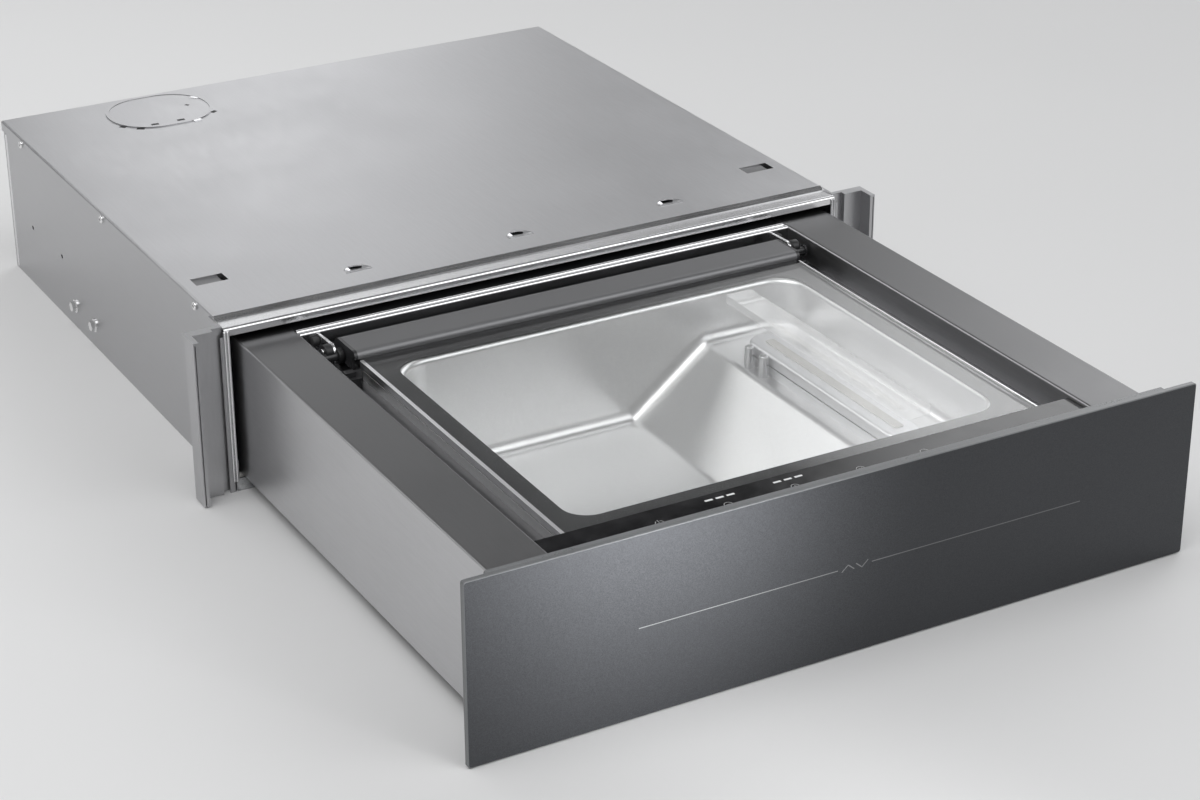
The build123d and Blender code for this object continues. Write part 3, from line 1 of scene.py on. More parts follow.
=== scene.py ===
import math
import bmesh
import bpy
import numpy as np
from mathutils import Matrix, Vector


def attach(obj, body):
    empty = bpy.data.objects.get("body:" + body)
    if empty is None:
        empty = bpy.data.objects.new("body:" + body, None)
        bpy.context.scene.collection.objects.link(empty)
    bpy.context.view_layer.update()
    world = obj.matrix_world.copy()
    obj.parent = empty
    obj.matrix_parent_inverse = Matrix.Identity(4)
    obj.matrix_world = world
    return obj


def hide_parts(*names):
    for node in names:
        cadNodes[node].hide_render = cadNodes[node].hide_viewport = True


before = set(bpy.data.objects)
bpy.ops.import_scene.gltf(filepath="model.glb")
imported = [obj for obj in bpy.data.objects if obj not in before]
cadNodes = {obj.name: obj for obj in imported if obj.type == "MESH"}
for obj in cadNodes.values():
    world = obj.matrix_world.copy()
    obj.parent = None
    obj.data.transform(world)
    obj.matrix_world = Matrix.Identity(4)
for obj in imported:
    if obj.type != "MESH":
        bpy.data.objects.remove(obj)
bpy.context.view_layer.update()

print("frame loaded with", len(cadNodes), "CAD nodes")


# camera: where the photo was taken from, in metres and degrees
cameraLook = dict(
    place=(-0.97052, -1.82687, 1.00087),
    azimuth=-29.17,
    elevation=25.52,
    roll=-0.29,
    focalPixels=2777.1,
    photoWidth=1200.0,
    sensorWidth=36.0,
)


def addCamera(look):
    data = bpy.data.cameras.new("photoCamera")
    data.sensor_width = look["sensorWidth"]
    data.lens = look["focalPixels"] * look["sensorWidth"] / look["photoWidth"]
    data.clip_start = 0.01
    data.clip_end = 60.0
    camera = bpy.data.objects.new("photoCamera", data)
    bpy.context.scene.collection.objects.link(camera)
    turn = Matrix.Rotation(math.radians(look["azimuth"]), 4, "Z")
    tilt = Matrix.Rotation(math.radians(90.0 - look["elevation"]), 4, "X")
    roll = Matrix.Rotation(math.radians(look["roll"]), 4, "Z")
    camera.matrix_world = Matrix.Translation(look["place"]) @ turn @ tilt @ roll
    bpy.context.scene.camera = camera


addCamera(cameraLook)
print("camera placed")


# small helpers for node trees
def newMaterial(name):
    material = bpy.data.materials.new(name)
    material.use_nodes = True
    return material, material.node_tree, material.node_tree.nodes["Principled BSDF"]


def put(tree, kind, inputs=None, **settings):
    # adds one node: settings are its own fields, inputs are socket values or links
    node = tree.nodes.new("ShaderNode" + kind)
    for field, value in settings.items():
        setattr(node, field, value)
    for socket, value in (inputs or {}).items():
        if isinstance(value, bpy.types.NodeSocket):
            tree.links.new(value, node.inputs[socket])
        else:
            node.inputs[socket].default_value = value
    return node


def objectCoords(tree, scale=(1.0, 1.0, 1.0)):
    # coordinates on the object itself, scaled apart along X, Y and Z to draw a noise out into grain
    coords = put(tree, "TexCoord").outputs["Object"]
    return put(tree, "Mapping", {"Vector": coords, "Scale": scale}).outputs["Vector"]


def noise(tree, vector, scale, detail=2.0, roughness=0.5):
    inputs = {"Vector": vector, "Scale": scale, "Detail": detail, "Roughness": roughness}
    return put(tree, "TexNoise", inputs).outputs[0]


def calc(tree, operation, first, second=0.0, third=0.0):
    inputs = {0: first, 1: second, 2: third}
    return put(tree, "Math", inputs, operation=operation).outputs[0]


def remap(tree, value, low, high, fromLow=0.3, fromHigh=0.7):
    inputs = {"Value": value, "From Min": fromLow, "From Max": fromHigh, "To Min": low, "To Max": high}
    return put(tree, "MapRange", inputs).outputs[0]


def ramp(tree, value, *stops):
    # a colour ramp: each stop is a place from 0 to 1 and a colour
    node = put(tree, "ValToRGB", {"Fac": value})
    while len(node.color_ramp.elements) < len(stops):
        node.color_ramp.elements.new(0.5)
    for element, (place, colour) in zip(node.color_ramp.elements, stops):
        element.position = place
        element.color = (*colour, 1.0)
    return node.outputs["Color"]


def shade(colour, factor):
    return tuple(min(1.0, max(0.0, part * factor)) for part in colour)


def setShader(shader, **values):
    for socket, value in values.items():
        shader.inputs[socket].default_value = value


# metals: satin sheet with grain drawn along one axis, and the clouds and fine speckle that all of them share
metalLooks = {
    # upward paints the casing's tops brighter than its sides, and the drawer covers' tops darker than their
    # sides: painted light and shade on one finish
    "casing_steel": dict(
        colour=(0.48, 0.48, 0.49), rough=0.34, grain=(700, 40, 700), spread=0.05, upward=1.34),
    "trim_steel": dict(colour=(0.74, 0.74, 0.75), rough=0.22, grain=(30, 700, 700), spread=0.05),
    "fastener_steel": dict(colour=(0.92, 0.92, 0.92), rough=0.24, grain=(300, 300, 300), spread=0.05),
    "bracket_aluminium": dict(colour=(0.50, 0.50, 0.51), rough=0.38, grain=(500, 500, 60), spread=0.06),
    "rail_steel": dict(colour=(0.62, 0.63, 0.64), rough=0.26, grain=(600, 30, 600), spread=0.06),
    "drawer_steel": dict(
        colour=(0.59, 0.59, 0.60), rough=0.34, grain=(600, 40, 600), spread=0.05, upward=0.30),
    "deck_steel": dict(colour=(0.16, 0.16, 0.165), rough=0.34, grain=(600, 50, 600), spread=0.06),
    "chamber_steel": dict(colour=(0.78, 0.78, 0.78), rough=0.34, grain=(400, 400, 400), spread=0.04),
    "hinge_aluminium": dict(colour=(0.21, 0.21, 0.215), rough=0.46, grain=(40, 600, 600), spread=0.06),
    "bright_metal": dict(colour=(0.80, 0.80, 0.81), rough=0.10, grain=(200, 200, 200), spread=0.03),
    "bar_aluminium": dict(colour=(0.84, 0.84, 0.85), rough=0.40, grain=(600, 40, 600), spread=0.05),
    "pump_aluminium": dict(colour=(0.46, 0.46, 0.47), rough=0.45, grain=(200, 200, 200), spread=0.08),
    "core_iron": dict(colour=(0.20, 0.195, 0.19), rough=0.50, grain=(900, 30, 30), spread=0.10),
    "valve_brass": dict(colour=(0.62, 0.44, 0.20), rough=0.28, grain=(300, 300, 60), spread=0.06),
    "paintedLidEdgeHighlight": dict(colour=(0.86, 0.86, 0.87), rough=0.30, grain=(300, 20, 300), spread=0.05),
    "leafChrome": dict(colour=(0.80, 0.80, 0.81), rough=0.26, grain=(200, 200, 200), spread=0.04),
    # a darker copy of the steel: painted shade on the pocket floors
    "paintedPocketShade": dict(colour=(0.24, 0.24, 0.245), rough=0.40, grain=(300, 300, 300), spread=0.05),
}
metalSkin = dict(
    cloudScale=9.0,
    speckleScale=1600.0,
    toneShares=dict(grain=0.45, cloud=0.35, speckle=0.20),
    roughShares=dict(grain=0.5, cloud=0.5),
    bumpShares=dict(grain=0.6, speckle=0.4),
    darker=0.92,
    lighter=1.06,
    upwardFrom=0.6,
    upwardTo=0.9,
    bump=0.12,
    bumpDepth=0.0002,
)


def satinMetal(name, look, skin):
    # the tone, the roughness and the bump are each a sum of grain, cloud and speckle by their own shares
    material, tree, shader = newMaterial(name)
    coords = objectCoords(tree)
    grain = noise(tree, objectCoords(tree, look["grain"]), 1.0, 3.0, 0.6)
    cloud = noise(tree, coords, skin["cloudScale"], 3.0)
    speckle = noise(tree, coords, skin["speckleScale"], 1.0)
    share = skin["toneShares"]
    mixed = calc(tree, "MULTIPLY_ADD", grain, share["grain"], calc(tree, "MULTIPLY", cloud, share["cloud"]))
    mixed = calc(tree, "MULTIPLY_ADD", speckle, share["speckle"], mixed)
    dark, light = shade(look["colour"], skin["darker"]), shade(look["colour"], skin["lighter"])
    colour = ramp(tree, mixed, (0.30, dark), (0.70, light))
    if "upward" in look:  # faces that look up are painted this many times as bright as the faces beside them: painted light and shade that stands in for how the light falls on tops and sides
        normal = put(tree, "TexCoord").outputs["Normal"]
        height = put(tree, "SeparateXYZ", {0: normal}).outputs["Z"]
        tone = remap(tree, height, 1.0, look["upward"], skin["upwardFrom"], skin["upwardTo"])
        colour = put(tree, "VectorMath", {0: colour, "Scale": tone}, operation="SCALE").outputs["Vector"]
    share = skin["roughShares"]
    rough = calc(tree, "MULTIPLY_ADD", grain, share["grain"], calc(tree, "MULTIPLY", cloud, share["cloud"]))
    rough = remap(tree, rough, look["rough"] - look["spread"], look["rough"] + look["spread"])
    share = skin["bumpShares"]
    height = calc(tree, "MULTIPLY", grain, share["grain"])
    height = calc(tree, "MULTIPLY_ADD", speckle, share["speckle"], height)
    bump = put(tree, "Bump", {"Height": height, "Strength": skin["bump"], "Distance": skin["bumpDepth"]})
    tree.links.new(colour, shader.inputs["Base Color"])
    tree.links.new(rough, shader.inputs["Roughness"])
    tree.links.new(bump.outputs["Normal"], shader.inputs["Normal"])
    setShader(shader, Metallic=1.0)
    return material


# plastics, rubbers, paint and boards: a moulded skin of fine pits over a slow change of tone
plainLooks = {
    "nylon": dict(colour=(0.72, 0.71, 0.68), rough=0.40, grit=700.0, depth=0.10),
    "black_plastic": dict(colour=(0.016, 0.016, 0.017), rough=0.42, grit=1100.0, depth=0.22),
    "frame_plastic": dict(colour=(0.16, 0.165, 0.17), rough=0.30, grit=900.0, depth=0.08),
    "light_plastic": dict(colour=(0.86, 0.87, 0.88), rough=0.35, grit=900.0, depth=0.04),
    "seal_rubber": dict(colour=(0.030, 0.030, 0.031), rough=0.62, grit=800.0, depth=0.18),
    "heater_tape": dict(colour=(0.50, 0.49, 0.47), rough=0.42, grit=1500.0, depth=0.20),
    "motor_paint": dict(colour=(0.030, 0.031, 0.033), rough=0.36, grit=500.0, depth=0.14),
    "hose_rubber": dict(colour=(0.022, 0.022, 0.023), rough=0.55, grit=600.0, depth=0.12),
    "board_green": dict(colour=(0.020, 0.085, 0.040), rough=0.32, grit=400.0, depth=0.10),
    "armBlack": dict(colour=(0.030, 0.030, 0.032), rough=0.30, grit=900.0, depth=0.10),
    "borderPrint": dict(colour=(0.024, 0.024, 0.025), rough=0.40, grit=1500.0, depth=0.04),
    "lineInk": dict(colour=(0.13, 0.132, 0.135), rough=0.40, grit=1500.0, depth=0.04),
    "groundEdge": dict(colour=(0.145, 0.15, 0.155), rough=0.34, grit=1400.0, depth=0.06),
    "touchInk": dict(colour=(0.42, 0.42, 0.42), rough=0.40, grit=1500.0, depth=0.04),
    # near black that paints the shade inside the screw recesses and the knock-out's slits
    "paintedRecessShade": dict(colour=(0.012, 0.012, 0.012), rough=0.50, grit=900.0, depth=0.10),
}
plainSkin = dict(cloudScale=14.0, pitShare=0.4, cloudShare=0.6, darker=0.82, lighter=1.18, spread=0.07,
                 bumpDepth=0.0003)


def mouldedPlastic(name, look, skin):
    # the tone and the roughness follow a sum of pits and cloud, the bump follows the pits alone
    material, tree, shader = newMaterial(name)
    coords = objectCoords(tree)
    pits = noise(tree, coords, look["grit"], 2.0, 0.6)
    cloud = noise(tree, coords, skin["cloudScale"], 3.0)
    mixed = calc(tree, "MULTIPLY", cloud, skin["cloudShare"])
    mixed = calc(tree, "MULTIPLY_ADD", pits, skin["pitShare"], mixed)
    dark, light = shade(look["colour"], skin["darker"]), shade(look["colour"], skin["lighter"])
    colour = ramp(tree, mixed, (0.32, dark), (0.68, light))
    rough = remap(tree, mixed, look["rough"] - skin["spread"], look["rough"] + skin["spread"])
    bump = put(tree, "Bump", {"Height": pits, "Strength": look["depth"], "Distance": skin["bumpDepth"]})
    tree.links.new(colour, shader.inputs["Base Color"])
    tree.links.new(rough, shader.inputs["Roughness"])
    tree.links.new(bump.outputs["Normal"], shader.inputs["Normal"])
    return material


# the lid: clear glass that lets light through to what lies below it
lidGlassLook = dict(tint=(0.97, 0.975, 0.975), roughLeast=0.01, roughMost=0.036, ior=1.45, smear=26.0,
                    bump=0.02, bumpDepth=0.0005)


def clearGlass(name, look):
    material, tree, shader = newMaterial(name)
    smear = noise(tree, objectCoords(tree), look["smear"], 4.0, 0.6)
    rough = remap(tree, smear, look["roughLeast"], look["roughMost"])
    bump = put(tree, "Bump", {"Height": smear, "Strength": look["bump"], "Distance": look["bumpDepth"]})
    tree.links.new(rough, shader.inputs["Roughness"])
    tree.links.new(bump.outputs["Normal"], shader.inputs["Normal"])
    setShader(shader, **{"Base Color": (*look["tint"], 1.0), "Transmission Weight": 1.0, "IOR": look["ior"]})
    clear = put(tree, "BsdfTransparent", {"Color": (*look["tint"], 1.0)})
    ray = put(tree, "LightPath").outputs["Is Shadow Ray"]
    mix = put(tree, "MixShader", {0: ray, 1: shader.outputs[0], 2: clear.outputs[0]})
    tree.links.new(mix.outputs[0], tree.nodes["Material Output"].inputs["Surface"])
    return material


# the counter strip: milky silicone that the chamber shows through
siliconeLook = dict(colour=(0.66, 0.66, 0.66), darker=0.94, lighter=1.05, rough=0.36, spread=0.06, clear=0.80,
                    cloudScale=60.0, grit=900.0, bump=0.06, bumpDepth=0.0002)


def milkySilicone(name, look):
    material, tree, shader = newMaterial(name)
    coords = objectCoords(tree)
    cloud = noise(tree, coords, look["cloudScale"], 3.0, 0.6)
    pits = noise(tree, coords, look["grit"], 2.0)
    dark, light = shade(look["colour"], look["darker"]), shade(look["colour"], look["lighter"])
    colour = ramp(tree, cloud, (0.3, dark), (0.7, light))
    rough = remap(tree, cloud, look["rough"] - look["spread"], look["rough"] + look["spread"])
    bump = put(tree, "Bump", {"Height": pits, "Strength": look["bump"], "Distance": look["bumpDepth"]})
    tree.links.new(colour, shader.inputs["Base Color"])
    tree.links.new(rough, shader.inputs["Roughness"])
    tree.links.new(bump.outputs["Normal"], shader.inputs["Normal"])
    clear = put(tree, "BsdfTransparent", {"Color": (1.0, 1.0, 1.0, 1.0)})
    mix = put(tree, "MixShader", {0: look["clear"], 1: shader.outputs[0], 2: clear.outputs[0]})
    tree.links.new(mix.outputs[0], tree.nodes["Material Output"].inputs["Surface"])
    return material


# the front: graphite metallic paint behind glass, with a fine sparkle
frontGlassLook = dict(
    dark=(0.042, 0.044, 0.048),
    light=(0.062, 0.065, 0.071),
    rough=0.40,
    spread=0.05,
    metallic=0.85,
    coat=0.4,
    coatRough=0.12,
    flake=2600.0,
    flakeShare=0.55,
    cloudScale=5.0,
    cloudShare=0.45,
    bump=0.10,
    bumpDepth=0.0001,
)


def graphiteGlass(name, look):
    material, tree, shader = newMaterial(name)
    coords = objectCoords(tree)
    flake = put(tree, "TexVoronoi", {"Vector": coords, "Scale": look["flake"]})
    fleck = put(tree, "SeparateColor", {"Color": flake.outputs["Color"]}).outputs[0]
    cloud = noise(tree, coords, look["cloudScale"], 2.0)
    mixed = calc(tree, "MULTIPLY", cloud, look["cloudShare"])
    mixed = calc(tree, "MULTIPLY_ADD", fleck, look["flakeShare"], mixed)
    colour = ramp(tree, mixed, (0.25, look["dark"]), (0.80, look["light"]))
    rough = remap(tree, fleck, look["rough"] - look["spread"], look["rough"] + look["spread"], 0.0, 1.0)
    bump = put(tree, "Bump", {"Height": fleck, "Strength": look["bump"], "Distance": look["bumpDepth"]})
    tree.links.new(colour, shader.inputs["Base Color"])
    tree.links.new(rough, shader.inputs["Roughness"])
    tree.links.new(bump.outputs["Normal"], shader.inputs["Normal"])
    setShader(shader, **{
        "Metallic": look["metallic"], "Coat Weight": look["coat"], "Coat Roughness": look["coatRough"]})
    return material


# the control panel: near black glass, faintly smeared by fingers
panelGlassLook = dict(colour=(0.012, 0.012, 0.013), darker=0.7, lighter=1.6, roughLeast=0.08, roughMost=0.18,
                      smear=40.0, bump=0.02, bumpDepth=0.0003)


def blackGlass(name, look):
    material, tree, shader = newMaterial(name)
    coords = objectCoords(tree)
    smear = noise(tree, coords, look["smear"], 5.0, 0.65)
    dark, light = shade(look["colour"], look["darker"]), shade(look["colour"], look["lighter"])
    colour = ramp(tree, smear, (0.35, dark), (0.7, light))
    rough = remap(tree, smear, look["roughLeast"], look["roughMost"])
    bump = put(tree, "Bump", {"Height": smear, "Strength": look["bump"], "Distance": look["bumpDepth"]})
    tree.links.new(colour, shader.inputs["Base Color"])
    tree.links.new(rough, shader.inputs["Roughness"])
    tree.links.new(bump.outputs["Normal"], shader.inputs["Normal"])
    return material


finishes = {slot: satinMetal(slot, look, metalSkin) for slot, look in metalLooks.items()}
finishes.update({slot: mouldedPlastic(slot, look, plainSkin) for slot, look in plainLooks.items()})
finishes["lid_glass"] = clearGlass("lid_glass", lidGlassLook)
finishes["counter_rubber"] = milkySilicone("counter_rubber", siliconeLook)
finishes["front_glass"] = graphiteGlass("front_glass", frontGlassLook)
finishes["panel_glass"] = blackGlass("panel_glass", panelGlassLook)

# nodes that look unlike the rest of their slot
nodeFinishes = {
    "hinge_arms": "armBlack",
    "hinge_pins": "armBlack",
}

for name, node in cadNodes.items():
    for materialSlot in node.material_slots:
        slotName = materialSlot.material.name.split(".")[0]
        materialSlot.material = finishes[nodeFinishes.get(name, slotName)]
print("finishes made:", len(finishes))


# new pieces: sizes in millimetres, in the drawer's own frame
mm = 0.001
sharpAngle = math.radians(35.0)  # edges that bend more than this stay sharp, or get a bevel


def gridFaces(rows, columns, joined):
    # four-sided faces between neighbouring rings of points; joined also closes the last ring to the first
    row = np.arange(rows if joined else rows - 1)[:, None]
    column = np.arange(columns)[None, :]
    nextRow, nextColumn = (row + 1) % rows, (column + 1) % columns
    corners = (row * columns + column, row * columns + nextColumn)
    corners += (nextRow * columns + nextColumn, nextRow * columns + column)
    return np.stack(np.broadcast_arrays(*corners), axis=-1).reshape(-1, 4).tolist()


def addMesh(name, points, faces, finish, body, bevel=0.0):
    # points in millimetres; faces are turned outwards, and a bevel rounds the sharp edges
    mesh = bpy.data.meshes.new(name)
    mesh.from_pydata((np.reshape(points, (-1, 3)) * mm).tolist(), [], faces)
    shell = bmesh.new()
    shell.from_mesh(mesh)
    bmesh.ops.recalc_face_normals(shell, faces=shell.faces)
    shell.to_mesh(mesh)
    shell.free()
    mesh.shade_smooth()
    mesh.set_sharp_from_angle(angle=sharpAngle)
    mesh.materials.append(finishes[finish])
    piece = bpy.data.objects.new(name, mesh)
    bpy.context.scene.collection.objects.link(piece)
    if bevel:
        edges = piece.modifiers.new("softEdges", "BEVEL")
        edges.width = bevel * mm
        edges.segments = 3
        edges.limit_method = "ANGLE"
        edges.angle_limit = sharpAngle
    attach(piece, body)
    return piece


def addRings(name, rings, finish, body, joined=False, bevel=0.0):
    # rings of points joined ring to ring, with flat ends unless the last ring joins the first
    rows, columns = rings.shape[:2]
    faces = gridFaces(rows, columns, joined)
    if not joined:
        faces += [list(range(columns)), list(range((rows - 1) * columns, rows * columns))]
    return addMesh(name, rings, faces, finish, body, bevel)


def roundedLoop(left, right, low, high, radius, perCorner=14):
    # corner k turns from k to k + 1 quarter turns about its own centre, which is a radius in from both sides
    angle = (np.arange(4)[:, None] + np.linspace(0.0, 1.0, perCorner)) * np.pi / 2
    across = np.array([right - radius, left + radius, left + radius, right - radius])[:, None]
    along = np.array([high - radius, high - radius, low + radius, low + radius])[:, None]
    return np.stack([across + radius * np.cos(angle), along + radius * np.sin(angle)], axis=-1).reshape(-1, 2)


def carried(outline, axis, places, insets=None):
    # the same outline at several places along one axis, each drawn in towards its middle by its inset
    rings = np.insert(np.repeat(outline[None], len(places), axis=0), axis, 0.0, axis=-1)
    if insets is not None:
        middle = (rings.max(axis=1, keepdims=True) + rings.min(axis=1, keepdims=True)) / 2
        half = (rings.max(axis=1, keepdims=True) - rings.min(axis=1, keepdims=True)) / 2
        inset = np.asarray(insets, float)[:, None, None]
        rings = middle + (rings - middle) * (1 - inset / np.maximum(half, 1e-6))
    rings[:, :, axis] = np.asarray(places, float)[:, None]
    return rings


def turned(profile, centreY, centreZ, count=32):
    # a profile of (x, radius) spun about the line through (centreY, centreZ) that runs along X
    angle = np.linspace(0.0, 2 * np.pi, count, endpoint=False)
    place, radius = np.asarray(profile, float).T[:, :, None]
    across = place + np.zeros_like(angle)
    return np.stack([across, centreY + radius * np.cos(angle), centreZ + radius * np.sin(angle)], axis=-1)


def strokes(ends, width, axis, low, high):
    # straight bars from point to point on a flat face: half the width goes to each side of the line
    ends = np.asarray(ends, float)
    run = ends[:, 1] - ends[:, 0]
    length = np.linalg.norm(run, axis=-1, keepdims=True)
    side = np.stack([-run[:, 1], run[:, 0]], axis=-1) / length * width / 2
    flat = np.stack([ends[:, 0] + side, ends[:, 0] - side, ends[:, 1] - side, ends[:, 1] + side], axis=1)
    bars = np.insert(np.concatenate([flat, flat], axis=1), axis, 0.0, axis=-1)
    bars[:, :4, axis], bars[:, 4:, axis] = low, high
    box = np.array([(0, 1, 2, 3), (4, 5, 6, 7), (0, 1, 5, 4), (1, 2, 6, 5), (2, 3, 7, 6), (3, 0, 4, 7)])
    faces = (box[None] + 8 * np.arange(len(bars))[:, None, None]).reshape(-1, 4)
    return bars, faces.tolist()


def arcEnds(across, along, radius, start, stop, count=20):
    # short chords of an arc about (across, along) between two angles in degrees
    angle = np.radians(np.linspace(start, stop, count + 1))
    points = np.stack([across + radius * np.cos(angle), along + radius * np.sin(angle)], axis=-1)
    return np.stack([points[:-1], points[1:]], axis=1)


# dark border printed under the lid's glass, open over the chamber's mouth
lidPrintLook = dict(
    outer=dict(halfWidth=196.4, front=-388.2, rear=-62.6, corner=2.5),
    mouth=dict(halfWidth=178.0, front=-371.5, rear=-83.5, corner=20.0),
    low=115.62,
    high=115.67,
)


def addLidPrint(look):
    # two rounded rectangles, each at both heights of the print, joined in a closed frame
    outer, inner = [roundedLoop(-half, half, front, rear, corner) for half, front, rear, corner in (
        look["outer"].values(), look["mouth"].values())]
    low, high = look["low"], look["high"]
    loops = [np.insert(loop, 2, height, axis=-1)
             for loop, height in ((outer, low), (outer, high), (inner, high), (inner, low))]
    addRings("lidPrint", np.stack(loops), "borderPrint", "lid", joined=True)


# strips along the lid's two side edges, each with a lip over the glass, in a bright metal that paints the
# highlight along the glass edges
lidTrimLook = dict(
    glassSide=197.8,
    gap=0.02,
    thick=0.35,
    low=117.4,
    top=122.72,
    lip=0.25,
    chamfer=0.15,
    # the left lip is wider so that the painted highlight on the left edge is broader
    lipWidths=dict(Left=2.6, Right=1.2),
    front=-389.2,
    rear=-70.6,
)


def addLidTrim(word, side, look):
    # an upright strip beside the glass whose lip reaches inwards over it
    inner, outer = look["glassSide"] + look["gap"], look["glassSide"] + look["thick"]
    lipEdge, lipTop = inner - look["lipWidths"][word], look["top"] + look["lip"]
    outline = np.array([
        (inner, look["low"]), (outer, look["low"]), (outer, lipTop - look["chamfer"]),
        (outer - look["chamfer"], lipTop), (lipEdge, lipTop), (lipEdge, look["top"]), (inner, look["top"]),
    ])
    outline[:, 0] *= side
    strip = carried(outline, 1, (look["front"], look["rear"]))
    addRings("paintedLidEdgeHighlight" + word, strip, "paintedLidEdgeHighlight", "lid")


# front glass: a slab with ground edges, and its fine printed line with two small arrows
frontPaneLook = dict(halfWidth=298.5, low=0.7, high=140.2, corner=2.0, edge=0.6, face=-443.94, back=-439.0)
frontLineLook = dict(
    height=69.8,
    width=0.75,
    left=(-169.9, -11.6),
    right=(16.6, 197.8),
    up=((-8.4, 67.6), (-3.2, 72.2), (2.0, 68.0)),
    down=((3.4, 71.8), (8.4, 67.6), (13.4, 72.4)),
    proud=0.03,
    depth=0.2,
)


def addFrontPane(look):
    # a rounded rectangle carried from face to back, drawn in by the edge's width at both
    halfWidth, edge = look["halfWidth"], look["edge"]
    outline = roundedLoop(-halfWidth, halfWidth, look["low"], look["high"], look["corner"], perCorner=5)
    places = (look["face"], look["face"] + edge, look["back"] - edge, look["back"])
    slab = carried(outline, 1, places, insets=(edge, 0, 0, edge))
    pane = addRings("frontPane", slab, "front_glass", "drawer")
    pane.data.materials.append(finishes["groundEdge"])
    normals = np.zeros(len(pane.data.polygons) * 3, dtype=np.float32)
    pane.data.polygons.foreach_get("normal", normals)
    onEdge = np.abs(normals.reshape(-1, 3)[:, 1]) < 0.9  # neither the face nor the back
    pane.data.polygons.foreach_set("material_index", onEdge.astype(np.int32))
    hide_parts("front_glass")


def addFrontLine(look, face):
    # two level strokes, and between them two arrows of two strokes each
    height = look["height"]
    ends = [((start, height), (stop, height)) for start, stop in (look["left"], look["right"])]
    ends += [arrow[first:first + 2] for arrow in (look["up"], look["down"]) for first in (0, 1)]
    bars, faces = strokes(ends, look["width"], 1, face - look["proud"], face + look["depth"])
    addMesh("frontLine", bars, faces, "lineInk", "drawer")


# faint rings that mark the touch keys on the control panel, each with its own small sign
touchLook = dict(
    y=-411.5,
    radius=3.1,
    width=0.45,
    top=125.0,
    depth=0.02,
    proud=0.03,
    keys=(
        dict(x=-135.0, gap=50.0, turn=90.0, sign=(((0.0, 0.6), (0.0, 4.2)),)),
        dict(x=-81.0, gap=0.0, turn=0.0, sign=(((-1.4, 0.0), (1.4, 0.0)),)),
        dict(x=-27.0, gap=0.0, turn=0.0, sign=(((-1.4, 0.0), (1.4, 0.0)), ((0.0, -1.4), (0.0, 1.4)))),
        dict(x=27.0, gap=70.0, turn=-90.0, sign=(((-1.2, 0.9), (0.0, -0.9)), ((0.0, -0.9), (1.2, 0.9)))),
        dict(x=81.0, gap=180.0, turn=-90.0, sign=(((-1.6, -1.2), (1.6, -1.2)),)),
    ),
)


def addTouchMarks(look):
    # each ring is an arc of short strokes, left open over its gap, around the strokes of its sign
    ends = []
    for key in look["keys"]:
        start = key["turn"] + key["gap"] / 2
        ends.append(arcEnds(key["x"], look["y"], look["radius"], start, start + 360.0 - key["gap"]))
        ends.append(np.asarray(key["sign"]) + (key["x"], look["y"]))
    low, high = look["top"] - look["depth"], look["top"] + look["proud"]
    bars, faces = strokes(np.concatenate(ends), look["width"], 2, low, high)
    addMesh("touchMarks", bars, faces, "touchInk", "drawer")


# ends of the lid's hinge: a bright leaf, a black bearing block with its drum, and a rubber stop
hingeEndLook = dict(
    leaf=dict(inside=205.4, outside=208.0, rear=-15.0, front=-44.5, low=101.0, rearTop=125.6, top=126.6,
              round=7.0, bevel=0.35),
    sleeve=dict(inside=201.0, outside=205.6, y=-44.0, z=118.0, radius=6.2, edge=0.6),
    block=dict(inside=208.2, outside=216.6, front=-54.0, rear=-30.0, low=99.0, high=113.0,
               corner=2.0, bevel=0.8),
    drum=dict(inside=207.9, outside=214.6, y=-40.0, z=121.3, radius=6.0, edge=0.9),
    boss=dict(inside=214.4, outside=216.2, y=-40.2, z=122.0, radius=2.2, edge=0.5),
    stop=dict(inside=208.0, outside=214.0, y=-17.0, z=121.0, radius=3.6, edge=1.0),
)


def addDrum(name, side, look, finish):
    # a short cylinder along X with rounded rims: each rim is a quarter circle of the edge's radius
    bend = np.radians(np.linspace(0.0, 90.0, 6))
    rim = look["radius"] - look["edge"] * (1 - np.sin(bend))
    sink = look["edge"] * (1 - np.cos(bend))
    profile = [(look["inside"] + s, r) for s, r in zip(sink, rim)]
    profile += [(look["outside"] - s, r) for s, r in zip(sink[::-1], rim[::-1])]
    profile = np.array(profile)
    profile[:, 0] *= side
    return addRings(name, turned(profile, look["y"], look["z"]), finish, "drawer")


def addHingeEnd(word, side, look):
    # the leaf is an upright plate whose front top corner is a quarter circle
    leaf = look["leaf"]
    bend = np.radians(np.linspace(90.0, 180.0, 12))
    nose = np.stack([leaf["front"] + leaf["round"] * (1 + np.cos(bend)),
                     leaf["top"] - leaf["round"] * (1 - np.sin(bend))], axis=-1)
    outline = np.concatenate([[(leaf["rear"], leaf["low"]), (leaf["rear"], leaf["rearTop"])], nose,
                              [(leaf["front"], leaf["low"])]])
    places = (side * leaf["inside"], side * leaf["outside"])
    plate = carried(outline, 0, places)
    addRings("hingeLeaf" + word, plate, "leafChrome", "drawer", bevel=leaf["bevel"])
    block = look["block"]
    outline = roundedLoop(
        block["front"], block["rear"], block["low"], block["high"], block["corner"], perCorner=5)
    body = carried(outline, 0, (side * block["inside"], side * block["outside"]))
    black = "black_plastic"
    pieces = [addRings("hingeBlock" + word, body, black, "drawer", bevel=block["bevel"])]
    pieces += [addDrum("hinge" + name.title() + word, side, look[name], black)
               for name in ("drum", "sleeve")]
    addDrum("hingeBoss" + word, side, look["boss"], "fastener_steel")
    addDrum("hingeStop" + word, side, look["stop"], "seal_rubber")
    return pieces


# rolled double bead on the front edges of the casing's sides, in the brighter trim steel that partly paints
# the highlight on these edges
sideBeadLook = dict(
    inside=274.4, outside=279.6, proud=1.5, back=0.3, low=8.6, high=137.4, taper=0.6, endShare=0.5, ridges=2)


